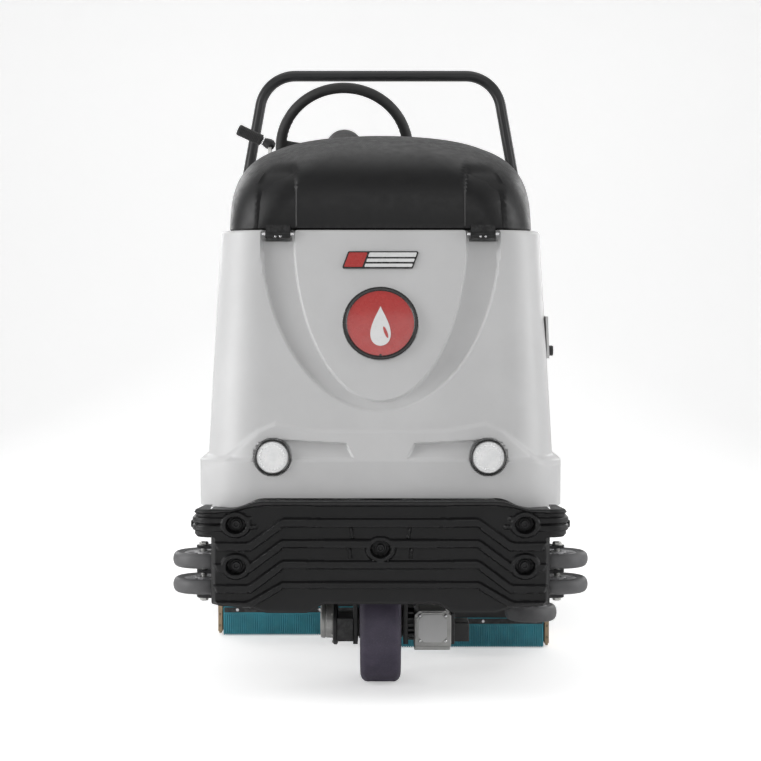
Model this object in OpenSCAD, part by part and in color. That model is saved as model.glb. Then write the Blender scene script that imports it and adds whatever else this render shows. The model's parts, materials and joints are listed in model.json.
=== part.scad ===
// Ride on scrubber. +Z up, the nose points to -Y, the operator's left hand is +X.
// The origin is on the floor, below the centre of the whole machine.

/* [Overall] */
// Length from the bumper face to the back of the squeegee
machine_len = 1650; // [1640:10:2000]
// From the bumper face back to the drive wheel's axle
nose_overhang = 225; // [215:5:270]
// From the back of the squeegee forward to the rear axle
tail_overhang = 355; // [350:5:430]
// Underside of the chassis rails above the floor
rail_z = 230; // [230:5:280]
// Chassis rail height
rail_h = 60; // [50:5:72]
// Running clearance on radius of shafts and pins
fit = 0.05; // [0.02:0.01:0.1]

/* [Nose body] */
// Width of the nose body at its top edge
nose_top_w = 676; // [600:4:830]
// Width of the nose body above its ledge
nose_w = 710; // [690:2:860]
// How far the ledge stands out on each side
ledge = 17.5; // [8:0.5:22]
// Height of the nose body's top edge
nose_top_z = 949; // [900:1:1140]
// Depth of the nose body from its foot to its back wall
nose_depth = 590; // [560:5:700]
// How far the front face leans back over its height
nose_lean = 134; // [80:2:160]
// Wall thickness of the tanks
tank_wall = 10; // [6:1:14]
// Depth of the sunk channel
channel_depth = 14; // [6:1:20]

/* [Lid] */
// Width of the lid
lid_w = 640; // [560:2:660]
// Height of the lid's crest above the nose body
lid_h = 216; // [180:2:260]
// Wall thickness of the lid
lid_wall = 6; // [4:1:10]

/* [Bumper] */
// Width across the bumper wings
bumper_w = 766; // [760:2:920]
// Top edge of the bumper
bumper_top_z = 405; // [395:1:425]
// Thickness of the bumper wall
bumper_t = 30; // [24:1:30]
// Wall roller radius
roller_r = 62.5; // [50:0.5:64]
// Wall roller width
roller_h = 30; // [26:1:40]

/* [Drive unit] */
// Drive wheel radius
drive_r = 125; // [104:1:128]
// Drive tyre width
drive_w = 85; // [70:1:86]

/* [Steering] */
// Outer radius of the steering wheel
steer_r = 173; // [150:1:208]
// Radius of the rim's section
rim_r = 14; // [11:0.5:17]
// Sideways place of the steering column
steer_x = -91; // [-110:1:0]
// Rake of the steering wheel's face from vertical
rake = 27; // [20:1:35]

/* [Brush deck] */
// Disc brush radius
brush_r = 184; // [150:1:186]
// How much further back the second brush head stands
stagger = 170; // [170:5:205]
// Lift of the brush deck
deck_lift = 50; // [40:1:50]

/* [Rear body and seat] */
// Width of the rear body
rear_w = 820; // [800:5:990]
// Height of the rear body's top
rear_top_z = 720; // [640:5:760]
// Rear wheel radius
rear_r = 130; // [108:1:132]
// Rear wheel width
rear_wheel_w = 80; // [66:1:82]
// Seat cushion width
seat_w = 440; // [370:5:530]
// Height of the guard hoop's top
hoop_top_z = 1453; // [1400:5:1750]
// Guard hoop tube radius
hoop_r = 15; // [12:1:18]

/* [Squeegee] */
// Outer radius of the squeegee's bow
bow_r = 900; // [850:10:1080]
// Half of the squeegee's opening angle
bow_half = 33; // [28:1:34]

/* [Hidden] */
$fn = 64;
front_y = -machine_len / 2;
tail_y = machine_len / 2;
drive_y = front_y + nose_overhang;
rear_y = tail_y - tail_overhang;
rail_top = rail_z + rail_h;
rail_x = 267;
rail_half = 20;

// nose body
foot_y = front_y + bumper_t + 15;
body_z = bumper_top_z + 2;
ledge_z = 475;
ledge_top = ledge_z + 12;
knee_z = 480;
back_y = foot_y + nose_depth;
top_y = foot_y + nose_lean;
apron_z = 330;
apron_half = bumper_w / 2 - 25;
lean = atan2(nose_lean, nose_top_z - knee_z);
channel_out = [248, 370];
channel_in = [180, 351];
fascia_t = 10;
lamp_x = 216;
lamp_z = 489;
lamp_r = 36.5;
lens_r = 31;
emblem_z = 755;
emblem_r = 78;
plate_z = 886;
knob_y = foot_y + 180;
knob_z = 698;
knob_stem = 5;
mouth = [290, top_y + 40, back_y - 36];
shelf_z = 900;
basket_r = 70;
basket_y = top_y + 170;

// lid
seal_t = 4;
lid_z = nose_top_z + seal_t;
lid_crest_y = top_y + 296;
lid_round = 0.645;
hinge_y = top_y - 4;
hinge_z = nose_top_z - 9;
hinge_x = 212;
hinge_half = 26;
knuckle_r = 8;
pin_r = 3;

// steering and drive
plate_t = 16;
unit_z = rail_top - 4;
spindle_r = 35;
wheel_gap = 5;
axle_r = 15;
n_dir = [0, cos(rake), sin(rake)];
wheel_c = [steer_x, top_y + 796, 1190];

// console and platform
platform_t = 18;
platform_z = rail_top + platform_t;
console_y = back_y + 3;
dash_back = console_y + 137;
dash_z = 1140;
dash_drop = 80;
dash_run = 100;
dash_tilt = atan2(dash_drop, dash_run);
console_half = 255;
shell = 5;
rear_front = tail_y - 675;
rear_back = tail_y - 105;
bay_split = tail_y - 313;

// rollers and bumper bolts
bolt_x = 288;
bolt_z = [356, 273];
roller_y = foot_y + 55;
roller_x = 360;
roller_pin = 6;
roller_low = 226;
roller_high = 278;

// brush deck
head_x = brush_r + 1;
deck_z = 100;
deck_t = 8;
deck_rim = 66;
rim_in = brush_r + 4;
rim_out = rim_in + 8;
head_y = [drive_y + 575, drive_y + 575 + stagger];
skirt_y = [head_y[0] - brush_r - 34, head_y[1] - brush_r - 49];
post_y = (head_y[0] + head_y[1]) / 2;
post_x = 90;
post_r = 12;
rod_x0 = 60;
rod_y0 = head_y[0] - 95;
motor_r = 50;
deck_roller = [342, skirt_y[0] - 69, 97];
deck_roller_r = 59;

// squeegee
bow_y = tail_y - bow_r;
arm_pivot = [tail_y - 265, 200];
spout_y = tail_y - 35;
spout_r = 24;
spout_ring = spout_r + 10;

// ---- helpers ----

// A block from its low and high values on each axis
module block(x, y, z) {
    translate([x[0], y[0], z[0]]) cube([x[1] - x[0], y[1] - y[0], z[1] - z[0]]);
}

// Round bars along each axis
module bar_x(x, y, z, r) {
    translate([x[0], y, z]) rotate([0, 90, 0]) cylinder(r = r, h = x[1] - x[0]);
}

module bar_y(x, y, z, r) {
    translate([x, y[0], z]) rotate([-90, 0, 0]) cylinder(r = r, h = y[1] - y[0]);
}

module bar_z(x, y, z, r) {
    translate([x, y, z[0]]) cylinder(r = r, h = z[1] - z[0]);
}

// Side outline in (Y, Z), extruded along X
module side_shape(x, points) {
    translate([x[0], 0, 0]) rotate([90, 0, 90]) linear_extrude(x[1] - x[0]) polygon(points);
}

// Front outline in (X, Z), extruded along Y
module front_shape(y, points) {
    translate([0, y[1], 0]) rotate([90, 0, 0]) linear_extrude(y[1] - y[0]) polygon(points);
}

module both_sides() {
    children();
    mirror([1, 0, 0]) children();
}

// Full outline from its right half
function mirrored(half) = concat(half, [for (i = [len(half) - 1:-1:0]) [-half[i][0], half[i][1]]]);

// Rectangle with round corners, from its low and high values
module round_rect(x, y, r) {
    translate([x[0] + r, y[0]]) square([x[1] - x[0] - 2 * r, y[1] - y[0]]);
    translate([x[0], y[0] + r]) square([x[1] - x[0], y[1] - y[0] - 2 * r]);
    for (px = [x[0] + r, x[1] - r], py = [y[0] + r, y[1] - r])
        translate([px, py]) circle(r);
}

// Y of the nose body's front face at a height
function face_y(z) = foot_y + max(0, z - knee_z) * nose_lean / (nose_top_z - knee_z);

// Puts children on the leaning front face, +Z outwards
module on_face(x, z) {
    translate([x, face_y(z), z]) rotate([90 - lean, 0, 0]) children();
}

// Puts children on the dash face, +Z outwards, v running down the slope
module on_dash(x, v) {
    translate([x, dash_back - dash_run + v * cos(dash_tilt), dash_z - v * sin(dash_tilt)])
        rotate([-dash_tilt, 0, 0]) children();
}

// Puts children on the steering column, +Z towards the operator
module on_column(t) {
    translate(wheel_c + t * n_dir) rotate([rake - 90, 0, 0]) children();
}

// ---- nose body ----

// Solid form of the nose body, drawn in by side and front amounts
module nose_form(side, front) {
    half_top = nose_top_w / 2 - side;
    half_low = nose_w / 2 - side;
    base = apron_z + side;
    intersection() {
        front_shape([foot_y - 50, back_y - side], mirrored([[apron_half - side, base],
            [apron_half - side, body_z + side], [half_low + ledge, body_z + side],
            [half_low + ledge, ledge_z], [half_low, ledge_top], [half_top, nose_top_z - side]]));
        side_shape([-500, 500], [[foot_y + front + 12, apron_z], [foot_y + front + 12, body_z + side],
            [foot_y + front, body_z + side], [foot_y + front, knee_z], [top_y + front, nose_top_z],
            [back_y, nose_top_z], [back_y, apron_z]]);
    }
}

// Half ellipse hanging from the nose body's top edge
function hanging(size) = concat([[size[0], nose_top_z + 50]],
    [for (a = [0:6:180]) [size[0] * cos(a), nose_top_z - size[1] * sin(a)]],
    [[-size[0], nose_top_z + 50]]);

fascia = mirrored([[0, 540], [130, 541], [206, 556], [245, 541], [322, 478], [322, body_z], [0, body_z]]);

module tank_outside() {
    difference() {
        nose_form(0, 0);
        difference() {
            front_shape([foot_y - 20, back_y - 300], hanging(channel_out));
            front_shape([foot_y - 30, back_y - 290], hanging(channel_in));
            nose_form(-5, channel_depth);
        }
    }
    difference() {
        translate([0, -fascia_t, 0]) intersection() {
            nose_form(0, 0);
            front_shape([foot_y - 20, foot_y + 60], fascia);
            block([-400, 400], [foot_y - 20, foot_y + 60], [body_z, 600]);
        }
        nose_form(0, 0);
    }
}

module solution_tank() color("gainsboro") {
    difference() {
        union() {
            tank_outside();
            // foot that rests on the rails
            block([-rail_x - rail_half, rail_x + rail_half], [drive_y + 170, back_y], [rail_top, apron_z + 1]);
            for (s = [-1, 1], e = [-1, 1])
                translate([s * hinge_x + e * (hinge_half + 4) - 3, 0, 0])
                    block([0, 6], [hinge_y - knuckle_r, hinge_y + 24], [hinge_z - 20, nose_top_z]);
        }
        nose_cavity();
        // mouth
        translate([0, 0, shelf_z + 12]) linear_extrude(100)
            round_rect([-mouth[0], mouth[0]], [mouth[1], mouth[2]], 30);
        // room for the steering gear motor
        block([-apron_half + 8, apron_half - 8], [foot_y + 40, drive_y + 160], [apron_z - 10, 424]);
        // hinge pockets and pin holes
        for (s = [-1, 1]) {
            translate([s * hinge_x, 0, 0])
                block([-hinge_half - 1, hinge_half + 1], [hinge_y - 20, hinge_y + 12],
                    [hinge_z - 12, nose_top_z + 1]);
            bar_x([s * hinge_x - hinge_half - 8, s * hinge_x + hinge_half + 8], hinge_y, hinge_z, pin_r);
        }
        // lamp seats and the slots beside them
        both_sides() {
            bar_y(lamp_x, [foot_y - 20, foot_y - 4], lamp_z, lamp_r + 0.3);
            front_shape([foot_y - 30, foot_y - 2], [[199, 522], [69, 516], [54, 486], [176, 486]]);
        }
    }
    // shelf for the filter basket
    difference() {
        block([-nose_w / 2 + 20, nose_w / 2 - 20], [basket_y - 90, basket_y + 90], [shelf_z, shelf_z + 8]);
        bar_z(0, basket_y, [shelf_z - 1, shelf_z + 9], basket_r + 0.5);
        difference() {
            block([-500, 500], [basket_y - 100, basket_y + 100], [shelf_z - 1, shelf_z + 9]);
            nose_form(tank_wall, tank_wall + channel_depth);
        }
    }
}

module nose_cavity() {
    difference() {
        nose_form(tank_wall, tank_wall + channel_depth);
        // floor over the steering gear motor
        block([-500, 500], [foot_y, drive_y + 170], [0, 434]);
        block([-500, 500], [foot_y, back_y], [0, apron_z]);
    }
}

module filter_basket() color("dimgray") difference() {
    union() {
        bar_z(0, basket_y, [shelf_z - 90, shelf_z + 8], basket_r);
        bar_z(0, basket_y, [shelf_z + 8, shelf_z + 12], basket_r + 12);
    }
    bar_z(0, basket_y, [shelf_z - 87, shelf_z + 20], basket_r - 3);
}

module headlamp_rings() color("black") both_sides() difference() {
    bar_y(lamp_x, [foot_y - 14, foot_y - 4], lamp_z, lamp_r);
    bar_y(lamp_x, [foot_y - 20, foot_y], lamp_z, lens_r);
}

module headlamp_lenses() color("white") both_sides() {
    bar_y(lamp_x, [foot_y - 13, foot_y - 4], lamp_z, lens_r);
}

module badges() {
    on_face(0, emblem_z) {
        color("black") difference() {
            cylinder(r = emblem_r, h = 8);
            translate([0, 0, -1]) cylinder(r = emblem_r - 7, h = 12);
        }
        color("firebrick") cylinder(r = emblem_r - 7, h = 6);
    }
    color("white") on_face(0, plate_z) linear_extrude(4)
        polygon([[-70, -17], [62, -17], [76, 19], [-56, 19]]);
}

// Half width of the nose body's side at a height above the ledge
function side_half(z) = nose_w / 2 - (z - ledge_top) * (nose_w - nose_top_w) / 2 / (nose_top_z - ledge_top);

// Filler door on the side, with its knob low at the front
module side_panel() color("silver") {
    low = knob_z - 16;
    high = knob_z + 72;
    difference() {
        front_shape([knob_y - 25, knob_y + 125], [[side_half(low), low], [side_half(low) + 5, low],
            [side_half(high) + 5, high], [side_half(high), high]]);
        bar_x([300, 400], knob_y, knob_z, knob_stem + fit);
    }
}

module panel_knob() color("dimgray") {
    bar_x([side_half(knob_z) + 6, side_half(knob_z) + 15], knob_y, knob_z, 11);
    bar_x([side_half(knob_z) + 1, side_half(knob_z) + 7], knob_y, knob_z, knob_stem);
}

// ---- lid ----

// Rounded half outline of the lid seen from the front
function lid_front(inset) = [for (a = [0:7.5:180])
    let (c = cos(a), s = sin(a), w = lid_w / 2 - inset, h = lid_h - inset)
    [sign(c) * w * pow(abs(c), lid_round), lid_z + h * pow(s, lid_round)]];

// Side outline of the lid: front curve up to the crest, then the straight back
function lid_side(inset) = concat([for (a = [180:-7.5:90])
    [lid_crest_y + (lid_crest_y - top_y - 6 - inset) * cos(a), lid_z + (lid_h - inset) * pow(sin(a), 0.85)]],
    [[back_y - 2 - inset, lid_z + lid_h - 14 - inset], [back_y - 2 - inset, lid_z]]);

module lid_form(inset) intersection() {
    front_shape([front_y, back_y + 50], lid_front(inset));
    side_shape([-500, 500], lid_side(inset));
}

module lid() color("dimgray") {
    difference() {
        lid_form(0);
        difference() {
            lid_form(lid_wall);
            block([-500, 500], [front_y, back_y], [0, lid_z - 1]);
        }
        translate([0, 0, -1]) intersection() {
            lid_form(lid_wall);
            block([-500, 500], [front_y, back_y], [0, lid_z + 5]);
        }
    }
    for (s = [-1, 1]) difference() {
        union() {
            bar_x([s * hinge_x - hinge_half, s * hinge_x + hinge_half], hinge_y, hinge_z, knuckle_r);
            block([s * hinge_x - hinge_half, s * hinge_x + hinge_half],
                [hinge_y - knuckle_r, hinge_y - knuckle_r + 5], [hinge_z, lid_z + 2]);
            block([s * hinge_x - hinge_half, s * hinge_x + hinge_half],
                [hinge_y - knuckle_r, hinge_y + 14], [nose_top_z + 1, lid_z + 2]);
        }
        bar_x([s * hinge_x - 50, s * hinge_x + 50], hinge_y, hinge_z, pin_r + fit);
    }
}

module lid_seal() color("black") translate([0, 0, nose_top_z]) linear_extrude(seal_t) difference() {
    round_rect([-mouth[0] - 18, mouth[0] + 18], [mouth[1] - 18, mouth[2] + 18], 40);
    round_rect([-mouth[0] - 4, mouth[0] + 4], [mouth[1] - 4, mouth[2] + 4], 30);
}

module hinge_pins() color("silver") for (s = [-1, 1]) {
    bar_x([s * hinge_x - hinge_half - 7, s * hinge_x + hinge_half + 7], hinge_y, hinge_z, pin_r);
}

// ---- chassis ----

module chassis_frame() color("dimgray") difference() {
    union() {
        both_sides() {
            block([rail_x - rail_half, rail_x + rail_half], [front_y + bumper_t, tail_y - 135],
                [rail_z, rail_top]);
            block([rail_x - rail_half, rail_x + rail_half], [rear_y - 30, rear_y + 30], [rear_r - 30, rail_z]);
            // guide post of the brush deck
            bar_z(post_x, post_y, [deck_z + deck_t + 17, rail_z + 5], post_r);
            // ears for the squeegee arm
            block([20, 30], [arm_pivot[0] - 20, arm_pivot[0] + 20], [arm_pivot[1] - 18, rail_z + 1]);
        }
        for (y = [[drive_y + 160, drive_y + 200], [post_y - 30, post_y + 30],
                [arm_pivot[0] - 20, arm_pivot[0] + 20], [tail_y - 185, tail_y - 135]])
            block([-rail_x, rail_x], y, [rail_z, rail_top]);
        // plate that carries the steering unit
        block([-rail_x - rail_half, rail_x + rail_half], [drive_y - 160, drive_y + 164],
            [rail_top, rail_top + plate_t]);
    }
    bar_z(0, drive_y, [rail_top - 1, rail_top + plate_t + 1], 50.5);
    bar_x([-300, 300], rear_y, rear_r, 14);
    bar_x([-60, 60], arm_pivot[0], arm_pivot[1], 8 + fit);
    for (x = [-100, 100])
        bar_y(x, [tail_y - 190, tail_y - 130], rail_z + rail_h / 2, 6.5);
}

// Lower edge of the bumper's front wall
function bumper_edge() = mirrored([[0, 197], [117, 197], [141, 179], [232, 179], [268, 191], [338, 197],
    [338, apron_z], [bumper_w / 2, apron_z], [bumper_w / 2, bumper_top_z - 14],
    [bumper_w / 2 - 12, bumper_top_z], [0, bumper_top_z]]);

// One rib, level in the middle and stepping down to the wings
module rib(top, height, drop, wing) {
    front_shape([front_y, front_y + 12], mirrored([[0, top], [197, top], [262, top - drop], [wing, top - drop],
        [wing - 8, top - drop - height], [256, top - drop - height], [191, top - height], [0, top - height]]));
}

module front_bumper() color("dimgray") difference() {
    union() {
        front_shape([front_y + 9, front_y + bumper_t], bumper_edge());
        // flange over the top edge, and walls around the sides
        front_shape([front_y + 9, foot_y - fascia_t - 2], mirrored([[0, bumper_top_z - 10],
            [bumper_w / 2 - 12, bumper_top_z - 10], [bumper_w / 2 - 12, bumper_top_z], [0, bumper_top_z]]));
        both_sides() difference() {
            block([bumper_w / 2 - 18, bumper_w / 2], [front_y + bumper_t - 1, front_y + 185],
                [apron_z, bumper_top_z]);
            block([bumper_w / 2 - 20, bumper_w / 2 + 1], [front_y + 120, front_y + 190], [apron_z - 1, 372]);
        }
        rib(370, 18, 48, 332);
        rib(328, 17, 49, 332);
        rib(286, 17, 49, 334);
        rib(244, 14, 40, 330);
        front_shape([front_y + 3, front_y + 12], mirrored([[0, 396], [300, 396], [378, 382], [378, 374],
            [300, 388], [0, 388]]));
        // boss for the middle bolt
        bar_y(0, [front_y + 4, front_y + 12], 308, 26);
    }
    both_sides() for (z = bolt_z) {
        bar_y(bolt_x, [front_y - 1, front_y + 20], z, 19);
        bar_y(bolt_x, [front_y - 1, front_y + 60], z, 6);
    }
    bar_y(0, [front_y - 1, front_y + 20], 308, 20);
    bar_y(0, [front_y - 1, front_y + 60], 308, 6);
    // round corners in plan
    both_sides() translate([bumper_w / 2 - 45, front_y + 45, 150]) difference() {
        translate([0, -46, 0]) cube([60, 46, 300]);
        translate([0, 0, -1]) cylinder(r = 45, h = 302);
    }
}

module bumper_fixings() color("silver") {
    for (p = [[-bolt_x, bolt_z[0]], [-bolt_x, bolt_z[1]], [bolt_x, bolt_z[0]], [bolt_x, bolt_z[1]], [0, 308]]) {
        bar_y(p[0], [front_y + 20, front_y + bumper_t], p[1], 6);
        bar_y(p[0], [front_y + 10, front_y + 20], p[1], 12);
    }
    both_sides() {
        difference() {
            union() {
                block([rail_x + rail_half, rail_x + rail_half + 6], [roller_y - 28, roller_y + 28],
                    [roller_low - 28, roller_high + 27]);
                for (z = [roller_low - 28, (roller_low + roller_high) / 2 - 3, roller_high + 21])
                    block([rail_x + rail_half, roller_x + 15], [roller_y - 16, roller_y + 16], [z, z + 6]);
            }
            bar_z(roller_x, roller_y, [100, 400], roller_pin);
        }
        bar_z(roller_x, roller_y, [roller_low - 34, roller_high + 30], roller_pin);
        bar_z(roller_x, roller_y, [roller_high + 27, roller_high + 34], 11);
        bar_z(roller_x, roller_y, [roller_low - 36, roller_low - 28], 10);
    }
}

// A wall roller: tyre and hub around its pin
module roller(x, y, z, r, h, pin) {
    color("gray") difference() {
        bar_z(x, y, [z - h / 2, z + h / 2], r);
        bar_z(x, y, [z - h, z + h], r * 0.62);
    }
    color("lightgray") difference() {
        bar_z(x, y, [z - h / 2 + 2, z + h / 2 - 2], r * 0.62);
        bar_z(x, y, [z - h, z + h], pin + fit);
    }
}

module roller_high_left() roller(roller_x, roller_y, roller_high, roller_r, roller_h, roller_pin);
module roller_low_left() roller(roller_x, roller_y, roller_low, roller_r, roller_h, roller_pin);
module roller_high_right() roller(-roller_x, roller_y, roller_high, roller_r, roller_h, roller_pin);
module roller_low_right() roller(-roller_x, roller_y, roller_low, roller_r, roller_h, roller_pin);

// ---- drive unit ----

module steering_unit() color("gray") difference() {
    union() {
        bar_z(0, drive_y, [unit_z + 0.3, rail_top + 60], 50);
        bar_z(0, drive_y, [rail_top + plate_t, rail_top + plate_t + 12], 95);
        bar_z(0, drive_y, [rail_top + 60, 420], 70);
    }
    bar_z(0, drive_y, [unit_z - 1, rail_top + 40.3], spindle_r + fit);
}

leg_in = drive_w / 2 + wheel_gap;
leg_t = 10;

module drive_fork() color("dimgray") difference() {
    union() {
        bar_z(0, drive_y, [unit_z - 24, unit_z], 105);
        bar_z(0, drive_y, [unit_z - 1, rail_top + 40], spindle_r);
        both_sides() block([leg_in, leg_in + leg_t], [drive_y - 45, drive_y + 45],
            [drive_r - 40, unit_z - 23]);
    }
    bar_x([-100, 100], drive_y, drive_r, axle_r + fit);
}

module drive_gearbox() color("silver") difference() {
    union() {
        block([-90, -leg_in - leg_t], [drive_y - 50, drive_y + 50], [92, 140]);
        bar_x([-100, -90], drive_y, 125, 48);
        bar_x([-126, -100], drive_y, 128, 37);
    }
    for (i = [0:3])
        block([-84 + i * 6, -81 + i * 6], [drive_y - 51, drive_y - 40], [100, 132]);
}

module drive_motor() color("black") {
    for (i = [0:6])
        bar_x([leg_in + leg_t + i * 2, leg_in + leg_t + i * 2 + 1], drive_y, drive_r, 38);
    bar_x([leg_in + leg_t, leg_in + leg_t + 13], drive_y, drive_r, 30);
}

module terminal_box() color("silver") {
    x0 = leg_in + leg_t + 13;
    front_shape([drive_y - 48, drive_y + 48], [[x0, 81], [147, 81], [147, 146], [136, 157], [x0 + 10, 157],
        [x0, 148]]);
    block([x0, 146], [drive_y - 40, drive_y + 40], [72, 81]);
    block([147, 155], [drive_y - 40, drive_y + 40], [84, 150]);
    block([155, 186], [drive_y - 30, drive_y + 30], [88, 128]);
}

module drive_hub() color("gray") {
    difference() {
        bar_x([-drive_w / 2 + 4, drive_w / 2 - 4], drive_y, drive_r, drive_r - 40);
        for (s = [-1, 1])
            bar_x([s * drive_w / 2 - 12, s * drive_w / 2 + 12], drive_y, drive_r, drive_r - 58);
    }
    bar_x([-leg_in - leg_t + 0.4, leg_in + leg_t - 0.4], drive_y, drive_r, axle_r);
}

module drive_tyre() color("darkslategray") translate([0, drive_y, drive_r]) rotate([0, 90, 0])
    rotate_extrude() polygon([[drive_r - 40, -drive_w / 2], [drive_r - 12, -drive_w / 2],
        [drive_r - 3, -drive_w / 2 + 9], [drive_r, -drive_w / 2 + 20], [drive_r, drive_w / 2 - 20],
        [drive_r - 3, drive_w / 2 - 9], [drive_r - 12, drive_w / 2], [drive_r - 40, drive_w / 2]]);

// ---- console, steering wheel and controls ----

// Side outline of the dash console
function console_outline(inset) = [[console_y + inset, platform_z - inset],
    [console_y + inset, dash_z - 15 - inset], [dash_back - dash_run, dash_z - inset * 1.28],
    [dash_back - inset, dash_z - dash_drop - inset * 0.48], [dash_back - inset, dash_z - 160 + inset / 3],
    [dash_back - 30 - inset, dash_z - 200 + inset / 3], [dash_back - 30 - inset, platform_z - inset]];

module console() color("dimgray") difference() {
    union() {
        side_shape([-console_half, console_half], console_outline(0));
        bar_x([-console_half - 21, -console_half], dash_back - 10, 1000, 8);
    }
    side_shape([-console_half + shell, console_half - shell], console_outline(shell));
    // hole for the column tube, seats of the controls
    on_column(-400) cylinder(r = 22.5, h = 300);
    on_dash(60, 34) translate([0, 0, -20]) cylinder(r = 6.05, h = 40);
    on_dash(112, 34) translate([0, 0, -20]) cylinder(r = 6.05, h = 40);
    on_dash(160, 34) translate([0, 0, -20]) cylinder(r = 6.05, h = 40);
    on_dash(208, 34) translate([0, 0, -20]) cylinder(r = 8.05, h = 40);
}

module control_panel() {
    color("black") difference() {
        on_dash(130, 62) translate([-105, -58, 0]) cube([210, 112, 3]);
        on_dash(60, 34) translate([0, 0, -20]) cylinder(r = 6.05, h = 40);
        on_dash(112, 34) translate([0, 0, -20]) cylinder(r = 6.05, h = 40);
        on_dash(160, 34) translate([0, 0, -20]) cylinder(r = 6.05, h = 40);
        on_dash(208, 34) translate([0, 0, -20]) cylinder(r = 8.05, h = 40);
    }
    color("seagreen") on_dash(90, 86) translate([-45, -22, 3]) cube([90, 44, 2]);
}

module key_switch() color("silver") on_dash(60, 34) {
    translate([0, 0, -8]) cylinder(r = 6, h = 11.2);
    translate([0, 0, 3.2]) cylinder(r = 11, h = 8);
    translate([-9, -1.5, 11]) cube([18, 3, 22]);
}

module speed_dial() color("black") on_dash(112, 34) {
    translate([0, 0, -8]) cylinder(r = 6, h = 11.2);
    translate([0, 0, 3.2]) cylinder(r = 18, h = 14);
    translate([-1.5, -17, 17]) cube([3, 12, 2]);
}

module horn_button() color("gold") on_dash(160, 34) {
    translate([0, 0, -12]) cylinder(r = 6, h = 18);
    translate([0, 0, 6]) cylinder(r = 11, h = 5);
}

module emergency_stop() color("red") on_dash(208, 34) {
    translate([0, 0, -12]) cylinder(r = 8, h = 24);
    translate([0, 0, 9]) cylinder(r = 20, h = 10);
}

module steering_shroud() color("black") difference() {
    union() {
        on_column(-235) cylinder(r = 58, h = 185);
        on_column(-300) cylinder(r = 22, h = 100);
    }
    on_column(-400) cylinder(r = 12 + fit, h = 400);
    // seat on the dash: only the column tube goes on into the console
    difference() {
        side_shape([steer_x - 80, steer_x + 80], [[dash_back - 300, dash_z + 160], [dash_back + 50,
            dash_z - 120], [dash_back + 50, 700], [dash_back - 300, 700]]);
        on_column(-400) cylinder(r = 22, h = 400);
    }
}

module steering_wheel() {
    ring = steer_r - rim_r;
    color("black") {
        on_column(0) rotate_extrude() translate([ring, 0]) circle(rim_r);
        on_column(0) difference() {
            union() {
                translate([0, 0, -22]) cylinder(r = 46, h = 34);
                for (a = [0, 90, 180]) rotate([0, 0, a])
                    translate([30, -19, -10]) cube([ring - 34, 38, 12]);
            }
            rotate_extrude() translate([ring, 0]) circle(rim_r);
        }
        on_column(-310) cylinder(r = 12, h = 288);
    }
    color("lightgray") on_column(12) cylinder(r = 43, h = 16);
}

lever_top = 1180;
grip_tilt = 65;

module squeegee_lever() {
    px = -console_half - 10;
    py = dash_back - 10;
    color("silver") difference() {
        union() {
            block([px - 4, px + 4], [py - 14, py + 14], [1000, lever_top - 10]);
            bar_x([px - 4, px + 4], py, 1000, 18);
            translate([px, py, lever_top]) sphere(r = 11);
            bar_z(px, py, [lever_top - 20, lever_top], 9);
            translate([px, py, lever_top]) rotate([0, -grip_tilt, 0]) cylinder(r = 7, h = 26);
        }
        bar_x([px - 10, px + 10], py, 1000, 8 + fit);
    }
    color("black") translate([px, py, lever_top]) rotate([0, -grip_tilt, 0])
        translate([0, 0, 22]) cylinder(r = 14, h = 62);
}

// ---- platform and pedals ----

pedal_y = dash_back + 90;
pedal_z = platform_z + 12;
pedal_len = 110;
pedal_w = 80;
pedal_rise = 35;
pedals_x = [-200, 120];

module platform() color("dimgray") difference() {
    union() {
        block([-375, 375], [back_y + 3, rear_front], [rail_top, platform_z]);
        both_sides() block([369, 375], [back_y + 3, rear_front], [rail_top, platform_z + 16]);
        for (x = pedals_x) {
            for (e = [-1, 1])
                translate([x + e * (pedal_w / 2 + 5) - 4, 0, 0])
                    block([0, 8], [pedal_y - 9, pedal_y + 9], [platform_z - 1, pedal_z + 9]);
            bar_x([x - pedal_w / 2 - 6, x + pedal_w / 2 + 6], pedal_y, pedal_z, 4);
        }
    }
    bar_z(rod_x0, rod_y0, [rail_top - 1, platform_z + 1], 14);
}

module foot_mat() color("black") difference() {
    block([-360, 360], [dash_back - 20, rear_front - 6], [platform_z, platform_z + 5]);
    for (x = pedals_x)
        block([x - pedal_w / 2 - 14, x + pedal_w / 2 + 14], [dash_back - 21, pedal_y + 14],
            [platform_z - 1, platform_z + 6]);
}

module pedal(x) color("black") difference() {
    union() {
        bar_x([x - pedal_w / 2, x + pedal_w / 2], pedal_y, pedal_z, 8);
        translate([x, pedal_y, pedal_z]) rotate([-pedal_rise, 0, 0])
            translate([-pedal_w / 2, -pedal_len, -3]) cube([pedal_w, pedal_len, 8]);
    }
    bar_x([x - 60, x + 60], pedal_y, pedal_z, 4 + fit);
}

module accelerator() pedal(pedals_x[0]);
module brake_pedal() pedal(pedals_x[1]);

// ---- rear body ----

module rear_form(inset) {
    translate([0, 0, rail_top + inset]) linear_extrude(rear_top_z - rail_top - 2 * inset)
        round_rect([-rear_w / 2 + inset, rear_w / 2 - inset],
            [rear_front + inset, rear_back - inset], 60 - inset);
}

cap_x = 250;
cap_y = (bay_split + rear_back) / 2;

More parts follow.
